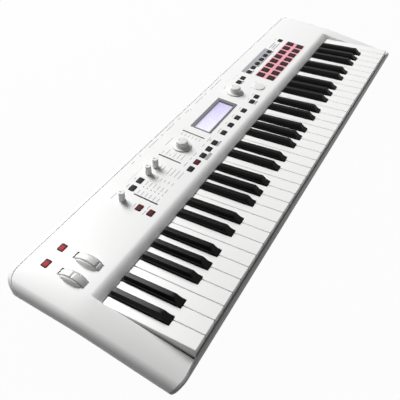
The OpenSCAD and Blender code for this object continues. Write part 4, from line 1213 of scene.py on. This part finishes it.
class SYNTH_OT_wheels(bpy.types.Operator):
    """Builds the two wheels with rounded rims and a finger notch"""

    bl_idname = "synth.wheels"
    bl_label = "Wheels"

    def execute(self, context):
        colour = context.scene.synth_panel.control_colour
        material = moulded("wheel_white", colour, 0.45, 0.4, 0.02)
        inset, drop = fillet(WHEEL_EDGE, 6)
        half = WHEEL_W / 2
        side_x = np.concatenate([[-half, -half], -half + inset])
        side_r = np.concatenate([[WHEEL_BORE, WHEEL_HUB], WHEEL_R - drop])
        x = np.concatenate([side_x, -side_x[::-1]])
        r = np.concatenate([side_r, side_r[::-1]])
        fine = np.linspace(-NOTCH_SPAN, NOTCH_SPAN, 41)
        off = np.concatenate([fine, np.linspace(NOTCH_SPAN, 360 - NOTCH_SPAN, 130)[1:-1]])

        # The notch is a dip of deep exp(-(arc / width)^2) in the rim
        dip = NOTCH_DEEP * np.exp(-((np.radians(off)[:, None] * WHEEL_R / NOTCH_W) ** 2)) + 0 * r
        reach = np.where(r > WHEEL_R - 2, r - dip, r)
        for node, turn in (("pitch_wheel", 0.0), ("mod_wheel", MOD_REST)):
            angle = TILT + np.radians(turn + 90 + off)[:, None]
            ring = np.stack([x + 0 * reach, reach * np.cos(angle), reach * np.sin(angle)], -1)
            mesh = Mesh()
            mesh.grid(pivot(node) + np.concatenate([ring, ring[:1]]), wrap=True)
            piece(f"{node}_rim", node, mesh, material, [node], 40, 0.001)
        return {"FINISHED"}


def pointed_cap(node, t, profile, steps, mark, looks):
    """Turned cap of a knob or dial on its joint's axis, with a printed pointer on top.

    The profile is radii and heights. The mark is width, length, how far up the panel it is and its levels.
    """
    x = pivot(node)[0]
    mesh = Mesh()
    turned(mesh, (x, t), *profile, steps)
    piece(f"{node}_cap", node, mesh, looks[0], [node], 40)
    width, length, off, levels = mark
    mesh = Mesh()
    capped_block(mesh, (x, t + off), rounded_outline(width, length, 0.3, 4), levels, TOP_INSETS)
    piece(f"{node}_pointer", node, mesh, looks[1])


class SYNTH_OT_knobs(bpy.types.Operator):
    """Builds the small knobs with pointers, the two flanged dials and the cursor pad"""

    bl_idname = "synth.knobs"
    bl_label = "Knobs and dials"

    def execute(self, context):
        colour = context.scene.synth_panel.control_colour
        material = moulded("control_white", colour, 0.42, 0.4, 0.02)
        looks = (material, moulded("pointer_grey", (0.06, 0.06, 0.065), 0.5))

        # Small knobs: a drum with a rounded, slightly hollow top
        inset, drop = fillet(0.8)
        r = np.concatenate([[KNOB_R - 0.5, KNOB_R, KNOB_R], KNOB_R - 0.4 - inset, [2.5, 0.4]])
        h = np.concatenate([[0.5, 0.8, 2.0], KNOB_H - drop, [KNOB_H - 0.1, KNOB_H - 0.12]])
        mark = (1.2, 3.0, 2.7, [KNOB_H - 0.6, KNOB_H - 0.03, KNOB_H])
        for node in ("volume_knob", "tone_knob", "value_knob"):
            pointed_cap(node, KNOB_T, (r, h), 48, mark, looks)

        # Dials: a flange, a flare of quarter waves up to the body, and a rounded top
        turn = np.linspace(0, 1, 12) * np.pi / 2
        body, foot = 0.63 * DIAL_R, DIAL_R - 0.4
        inset, drop = fillet(2.2, 7)
        flare_r = foot - (foot - body - 0.35) * np.sin(turn)
        flare_h = 1.9 + 4.0 * (1 - np.cos(turn))
        r = np.concatenate([[DIAL_R - 0.3, DIAL_R, DIAL_R, DIAL_R - 0.15], flare_r, body - inset, [4.0, 0.5]])
        h = np.concatenate([[0.5, 0.7, 1.5, 1.8], flare_h, DIAL_H - 0.3 - drop, [DIAL_H - 0.08, DIAL_H]])
        mark = (1.0, 3.4, 5.4, [DIAL_H - 1.0, DIAL_H - 0.12, DIAL_H - 0.1])
        for node in ("mode_dial", "value_dial"):
            pointed_cap(node, DIAL_T, (r, h), 96, mark, looks)

        # Cursor pad: a low disc with a rounded edge
        inset, drop = fillet(0.9)
        r = np.concatenate([[CURSOR_R, CURSOR_R], CURSOR_R - inset, [8.0, 4.0, 0.5]])
        h = np.concatenate([[-WALL, 0.0], CURSOR_H - 0.4 - drop, [CURSOR_H - 0.2, CURSOR_H - 0.08, CURSOR_H]])
        mesh = Mesh()
        turned(mesh, (CURSOR_X, CURSOR_T), r, h, 96)
        piece("cursor_pad_cap", "cursor_pad", mesh, material, ["cursor_pad"], 40)
        return {"FINISHED"}


def domed_cap(height, edge, dome, fall):
    """Levels, insets and crown of a sliding cap: straight sides from the wall's depth, round edge, low dome.

    The edge ends dome below the top, and the crown's outer ring lies fall below it.
    """
    inset, drop = fillet(edge)
    levels = np.concatenate([[-WALL], height - dome - drop])
    return levels, np.concatenate([[0], inset]), [(0.7, height - fall), (0.35, height)]


class SYNTH_OT_buttons(bpy.types.Operator):
    """Builds the push buttons as rounded silicone caps, some of them lit"""

    bl_idname = "synth.buttons"
    bl_label = "Buttons"

    def execute(self, context):
        settings = context.scene.synth_panel
        dark = moulded("button_dark", settings.button_colour, 0.5, 0.3, 0.02, 0.1, specular=0.12)
        cap, bright = (0.03, 0.006, 0.007), settings.lit_colour
        lit = lit_from_below("button_lit", cap, bright, 0.5, reach=0.5, lamp=(0.44, 0.42))
        dim = lit_from_below("button_dim", cap, bright, 0.1, reach=0.52)
        size = (BUTTON_W, BUTTON_D)
        outline = rounded_outline(*size, BUTTON_R, 6)
        levels, insets, crown = domed_cap(BUTTON_H, edge=0.7, dome=0.2, fall=0.05)
        for node, (x0, step, count, t0) in BUTTON_ROWS.items():
            glowing = [GLOWING_MENU] if node == "menu_buttons" else []
            groups = {"caps": [i for i in range(count) if i not in glowing], "lit_cap": glowing}
            for group, members in groups.items():
                if not members:
                    continue
                mesh = Mesh()
                for i in members:
                    capped_block(mesh, (x0 + i * step, t0), outline, levels, insets, size, crown)
                glows = node in LIT_BUTTONS or group == "lit_cap"
                material = lit if node.startswith("octave") else dim if glows else dark
                piece(f"{node}_{group}", node, mesh, material, [node] if group == "caps" else [], 50)
        return {"FINISHED"}


class SYNTH_OT_pads(bpy.types.Operator):
    """Builds the two rows of pads and the light guide between them"""

    bl_idname = "synth.pads"
    bl_label = "Pads"

    def execute(self, context):
        settings = context.scene.synth_panel
        material = lit_from_below("pad_dark", settings.pad_colour, settings.glow_colour, 0.016, 0.42, 0.75)
        size = (PAD_W, PAD_D)
        outline = rounded_outline(*size, PAD_R, 7)
        levels, insets, crown = domed_cap(PAD_H, edge=0.8, dome=0.1, fall=0.03)
        pad_x = PAD_X + PAD_PITCH * np.arange(PADS)
        pad_t = PAD_T + PAD_ROW * np.arange(2)
        for t, node in zip(pad_t, ("front_pads", "back_pads")):
            mesh = Mesh()
            for x in pad_x:
                capped_block(mesh, (x, t), outline, levels, insets, size, crown)
            piece(f"{node}_caps", node, mesh, material, [node], 50)

        # Light guide: a plate with an opening for each pad
        hole = (PAD_W + 2 * SLIDE_GAP, PAD_D + 2 * SLIDE_GAP)
        holes = np.array([(x, t, *hole) for t in pad_t for x in pad_x])
        reach_x, reach_t = GLOW_W / 2 - GUIDE_GAP, GLOW_D / 2 - GUIDE_GAP
        xs = lines_round(holes, 0, [GLOW_X - reach_x, GLOW_X + reach_x], 3)
        ts = lines_round(holes, 1, [GLOW_T - reach_t, GLOW_T + reach_t], 3)
        plate = np.stack(np.meshgrid(xs, ts), -1)
        points = panel_point(plate[..., 0], plate[..., 1], 0.0)
        mesh = Mesh()
        mesh.grid(points, keep=~cells_in(xs, ts, holes), uv=pad_uv(plate))
        for centre in holes[:, :2]:
            corner_fills(mesh, centre, hole, PAD_R + SLIDE_GAP)
        glow = pad_glow("pad_glow", settings)
        piece("pad_light_guide", "case", mesh, glow, ["pad_light_frame"], 40, 0.01, WALL)
        return {"FINISHED"}


class SYNTH_OT_display(bpy.types.Operator):
    """Builds the display's bezel, clear window and lit face, and the indicator lenses"""

    bl_idname = "synth.display"
    bl_label = "Display"

    def execute(self, context):
        settings = context.scene.synth_panel
        window = (WINDOW_X, WINDOW_T)

        # Bezel: a ring whose section runs from the outer foot over the edge, down inside and back
        inset, drop = fillet(0.6, 4)
        outer = rounded_outline(DISPLAY_W, DISPLAY_D, 1.6, 6) + [DISPLAY_X, DISPLAY_T]
        inner = rounded_outline(WINDOW_W, WINDOW_D, 0.8, 6) + window
        back = drawn_in(outer, [BEZEL_BACK])
        rings = np.concatenate([[outer], drawn_in(outer, inset), [inner], [inner], back, [outer]])
        inside = [BEZEL_INNER_H, BEZEL_DEEP, BEZEL_DEEP, BEZEL_FOOT]
        level = np.array([BEZEL_FOOT, *(BEZEL_H - drop), *inside])[:, None] + 0 * rings[..., 0]
        mesh = Mesh()
        mesh.grid(panel_point(rings[..., 0], rings[..., 1], level), wrap=True)
        bezel = moulded("bezel_grey", (0.15, 0.155, 0.165), 0.4, 0.35, 0.02)
        piece("display_bezel", "case", mesh, bezel, ["display_frame"], 40, 0.001)

        # Clear window, and the lit face under it
        mesh = Mesh()
        pane = rounded_outline(WINDOW_W + PANE_LAP, WINDOW_D + PANE_LAP, 0.8, 4)
        capped_block(mesh, window, pane, PANE_LEVELS, TOP_INSETS)
        piece("display_pane", "case", mesh, clear_sheet("window_clear"), ["display_window"], 40)
        mesh = Mesh()
        face = rounded_outline(WINDOW_W + FACE_LAP, WINDOW_D + FACE_LAP, 0.5, 4)
        capped_block(mesh, window, face, FACE_LEVELS, TOP_INSETS, (WINDOW_W, WINDOW_D))
        piece("display_face", "case", mesh, display_face("lcd_face", settings), ["lcd_module"], 40)

        # Indicator lenses: pegs with a low dome
        mesh = Mesh()
        a = np.linspace(0, np.pi / 2, 6)
        r = np.concatenate([[LED_R], LED_R * np.cos(a)[:-1], [0.1]])
        h = np.concatenate([[-LED_DEEP], 0.02 + 0.28 * np.sin(a)])
        for i in range(LEDS):
            turned(mesh, (LED_X, LED_T + i * LED_PITCH), r, h, 20)
        lens = moulded("lens_red", (0.07, 0.012, 0.014), 0.25, 0.3, 0.005, 0.1, 0.3)
        piece("indicator_lenses", "case", mesh, lens, ["led_lenses"], 50)
        return {"FINISHED"}


def print_bars(name, rows, material):
    """Thin closed plates on the panel from rows of (x0, x1, t0, t1)."""
    mesh = Mesh()
    for x0, x1, t0, t1 in rows:
        shape = rounded_outline(x1 - x0, t1 - t0, min(x1 - x0, t1 - t0) * 0.2, 3)
        capped_block(mesh, ((x0 + x1) / 2, (t0 + t1) / 2), shape, PRINT_LEVELS, PRINT_INSETS)
    piece(name, "case", mesh, material)


class SYNTH_OT_legends(bpy.types.Operator):
    """Prints plain bars for legends, dividing lines and grey bands on the panel; paints shadow under dials"""

    bl_idname = "synth.legends"
    bl_label = "Legends"

    def execute(self, context):
        settings = context.scene.synth_panel
        black = moulded("print_black", (0.01, 0.01, 0.01), 0.6, 0.3, 0.005, specular=0.1)
        grey = moulded("print_grey", settings.print_colour, 0.55, 0.3, 0.005)
        # band, the printed bands' grey, also paints the shadow rings under the dials
        band = moulded("print_band", settings.band_and_shadow_colour, 0.55, 0.3, 0.005)

        # Dividing lines: x, t0, t1
        lines = [(-247.2, 18.6, 58), (-149, 38.2, 81.2), (-71.5, 38.3, 81.7)]
        dividers = [(x - DIVIDER_HALF, x + DIVIDER_HALF, t0, t1) for x, t0, t1 in lines]
        print_bars("divider_print", dividers, black)
        red = moulded("print_red", (0.16, 0.012, 0.02), 0.6, 0.3, 0.005, specular=0.1)
        print_bars("divider_tip_print", [(*dividers[0][:2], lines[0][2], 61.8)], red)

        # Words: rows of t, then x0 and x1 of each word
        words = [
            (84.6, -274, -260, -123, -99),
            (79.9, -242, -233, -221, -215),
            (61.4, -179, -168),
            (55.0, -179, -168),
            (47.0, -270, -262),
            (26.6, -276, -267, -264, -255),
            (104.0, -194, -186, -172, -167, -144, -116, -106, -100, -90, -64, -51, -43, -25, -14),
            (104.0, 11, 39, 45, 53, 68, 83, 86, 113),
            (101.2, -13, -8),
            (30.4, -153, -140, -133, -126, -122, -111, -93, -84, -76, -62),
            (27.0, -73, -66, -44, -30, -14, -8, 11, 20, 40, 48, 78, 84, 97, 105),
            (83.6, 86, 95),
            (81.2, 329, 336),
        ]
        rows = LED_T + LED_PITCH * np.arange(LEDS)[::-1]
        words += [(t, -244, -235, -222, -212, -202, -195) for t in rows]
        words += [(t, -184, -165) for t in rows[2:]]
        words += [(t, -143, end) for t, end in zip(rows + 20, (-137, -128, -139, -131, -128, -126))]
        words += [(t, -84, -77) for t in rows + 19.5]
        spans = [
            (x0, x1, row[0] - WORD_HALF, row[0] + WORD_HALF)
            for row in words
            for x0, x1 in zip(row[1::2], row[2::2])
        ]
        spans += [(287, 318, 74.6, 77.0), (288, 312, 69.4, 71.8), (285, 320, 64.2, 66.6)]
        spans += [(-230, -190, 84.8, 85.2), (127, 149, 83.0, 83.4)]
        print_bars("legend_print", spans, grey)

        # Blocks that stand alone, then the band round the bank buttons
        blocks = [(-119, -99, 6.0, 12.0), (-78, -61, 8.6, 12.4), (71, 84, 8.0, 12.0)]
        blocks += [(119, 134, 61.2, 64.2), (164, 181, 61.2, 64.4)]
        x0, step, count, t0 = BUTTON_ROWS["bank_buttons"]
        half, clear = BUTTON_D / 2 + BAND_CLEAR, BUTTON_W / 2 + BAND_CLEAR
        blocks += [
            (x0 + i * step + clear, x0 + (i + 1) * step - clear, t0 - half, t0 + half)
            for i in range(1, count - 1)
        ]
        blocks += [(163.0, 281.0, t0 + half, 84.0), (x0 + step + clear, 281.0, 61.0, t0 - half)]
        print_bars("block_print", blocks, band)

        # Painted shadow rings under the dials' flanges, and marks round the cursor pad
        mesh = Mesh()
        shadow_r, shadow_h = DIAL_R + np.array([0.25, 0.25, -1.0]), [-0.05, 0.04, 0.04]
        for node in ("mode_dial", "value_dial"):
            turned(mesh, (pivot(node)[0], DIAL_T), shadow_r, shadow_h, 96)
        piece("dial_ring_print", "case", mesh, band)
        turn = np.radians([45, 135, 225, 315])
        marks = np.stack([CURSOR_X + CURSOR_MARK * np.cos(turn), CURSOR_T + CURSOR_MARK * np.sin(turn)], -1)
        squares = [(x - MARK_HALF, x + MARK_HALF, t - MARK_HALF, t + MARK_HALF) for x, t in marks]
        print_bars("cursor_mark_print", squares, grey)
        return {"FINISHED"}


def stand(name, data, place, axes):
    """Puts a camera or lamp at a place in metres, with its x, y and z along the given axes."""
    obj = bpy.data.objects.new(name, data)
    matrix = np.eye(4)
    matrix[:3, :3] = np.stack(axes, 1)
    matrix[:3, 3] = place
    obj.matrix_world = Matrix(matrix.tolist())
    bpy.context.scene.collection.objects.link(obj)
    return obj


def unit(vector):
    """Vector of length 1 along the given one."""
    return vector / np.linalg.norm(vector)


class SYNTH_OT_stage(bpy.types.Operator):
    """Sets the camera, the floor, the lamp and the white surroundings"""

    bl_idname = "synth.stage"
    bl_label = "Stage"

    def execute(self, context):
        settings = context.scene.synth_stage
        scene = context.scene
        paper = (1, 1, 1, 1)

        # Camera at the photograph's viewing angle
        az, el, roll = CAMERA_AZ, CAMERA_EL, CAMERA_ROLL
        back = np.array([np.sin(az) * np.cos(el), -np.cos(az) * np.cos(el), np.sin(el)])
        right = unit(np.cross(-back, [0, 0, 1]))
        up = np.cross(right, -back)
        across = np.cos(roll) * right + np.sin(roll) * up
        upward = np.cos(roll) * up - np.sin(roll) * right
        camera = bpy.data.cameras.new("camera")
        camera.sensor_width = SENSOR_W
        camera.lens = SENSOR_W * FOCAL_PX / FRAME_PX
        camera.clip_start = 0.01
        scene.camera = stand("camera", camera, CAMERA_PLACE * MM, [across, upward, back])

        # Floor: white to the eye, and dim for light
        floor = bpy.data.meshes.new("floor")
        corners = [(-FLOOR_REACH, -FLOOR_REACH, 0), (FLOOR_REACH, -FLOOR_REACH, 0)]
        corners += [(FLOOR_REACH, FLOOR_REACH, 0), (-FLOOR_REACH, FLOOR_REACH, 0)]
        floor.from_pydata(corners, [], [(0, 1, 2, 3)])
        material = moulded("floor_white", [FLOOR_SHADE] * 3, 0.9, 3.0, 0.02, 0.01)
        tree = material.node_tree
        white = add(tree, "ShaderNodeEmission", {"Color": paper, "Strength": 1.0}).outputs[0]
        share = math(tree, "MULTIPLY", seen_rays(tree), FLOOR_WHITE)
        dull = tree.nodes["Principled BSDF"].outputs[0]
        mix = add(tree, "ShaderNodeMixShader", {0: share, 1: dull, 2: white})
        tree.links.new(mix.outputs[0], tree.nodes["Material Output"].inputs["Surface"])
        floor.materials.append(material)
        ground = bpy.data.objects.new("floor", floor)
        scene.collection.objects.link(ground)

        # Surroundings: white to the eye, and for light a low bright band behind the object in a dim room
        world = bpy.data.worlds.new("surroundings")
        world.use_nodes = True
        scene.world = world
        tree = world.node_tree
        tree.nodes.clear()
        way = add(tree, "ShaderNodeTexCoord").outputs["Generated"]
        height = add(tree, "ShaderNodeSeparateXYZ", {0: way}).outputs["Z"]
        pair = {0: way, 1: BAND_WAY}
        behind = add(tree, "ShaderNodeVectorMath", pair, operation="DOT_PRODUCT").outputs["Value"]
        rear, low = ramp(tree, behind, *BAND_SPREAD), ramp(tree, height, *BAND_HEIGHT, 1.0, 0.0)
        glow = math(tree, "MULTIPLY", math(tree, "MULTIPLY", rear, low), settings.glow_strength)
        strength = math(tree, "ADD", glow, settings.room_strength)
        room = add(tree, "ShaderNodeBackground", {"Color": paper, "Strength": strength}).outputs[0]
        white = add(tree, "ShaderNodeBackground", {"Color": paper, "Strength": 1.0}).outputs[0]
        mix = add(tree, "ShaderNodeMixShader", {0: seen_rays(tree), 1: room, 2: white})
        out = add(tree, "ShaderNodeOutputWorld", {"Surface": mix.outputs[0]})
        out.is_active_output = True

        # Square lamp behind the object, turned to the middle of the case
        light = bpy.data.lights.new("key_lamp", "AREA")
        light.shape, light.size, light.energy = "SQUARE", LAMP_SIZE, settings.key_power
        toward = unit(LAMP_PLACE - LAMP_AIM)
        side = unit(np.cross([0, 0, 1], toward))
        stand("key_lamp", light, LAMP_PLACE, [side, np.cross(toward, side), toward])
        scene.view_settings.view_transform = "Standard"
        return {"FINISHED"}


class SYNTH_PT_panel(bpy.types.Panel):
    """Sidebar panel with the settings and the steps that build the synthesizer"""

    bl_idname = "SYNTH_PT_panel"
    bl_label = "Synthesizer"
    bl_space_type = "VIEW_3D"
    bl_region_type = "UI"
    bl_category = "Synthesizer"

    def draw(self, context):
        for holder in SETTINGS:
            group = getattr(context.scene, holder)
            box = self.layout.box()
            for name in group.bl_rna.properties.keys():
                if name not in {"rna_type", "name"}:
                    box.prop(group, name)
        for step in STEPS:
            self.layout.operator(step.bl_idname)


SETTINGS = {
    "synth_case": CaseSettings,
    "synth_keys": KeySettings,
    "synth_panel": PanelSettings,
    "synth_stage": StageSettings,
}
STEPS = (
    SYNTH_OT_upper_case,
    SYNTH_OT_front_rail,
    SYNTH_OT_rear_cover,
    SYNTH_OT_base,
    SYNTH_OT_white_keys,
    SYNTH_OT_black_keys,
    SYNTH_OT_wheels,
    SYNTH_OT_knobs,
    SYNTH_OT_buttons,
    SYNTH_OT_pads,
    SYNTH_OT_display,
    SYNTH_OT_legends,
    SYNTH_OT_stage,
)


def register():
    for kind in (*SETTINGS.values(), *STEPS, SYNTH_PT_panel):
        bpy.utils.register_class(kind)
    for name, kind in SETTINGS.items():
        setattr(bpy.types.Scene, name, bpy.props.PointerProperty(type=kind))


def unregister():
    for name in SETTINGS:
        delattr(bpy.types.Scene, name)
    for kind in (SYNTH_PT_panel, *STEPS[::-1], *SETTINGS.values()):
        bpy.utils.unregister_class(kind)


def main():
    register()
    bpy.ops.synth.upper_case()
    bpy.ops.synth.front_rail()
    bpy.ops.synth.rear_cover()
    bpy.ops.synth.base()
    bpy.ops.synth.white_keys()
    bpy.ops.synth.black_keys()
    bpy.ops.synth.wheels()
    bpy.ops.synth.knobs()
    bpy.ops.synth.buttons()
    bpy.ops.synth.pads()
    bpy.ops.synth.display()
    bpy.ops.synth.legends()
    bpy.ops.synth.stage()
    bpy.context.view_layer.update()


if __name__ == "__main__":
    main()
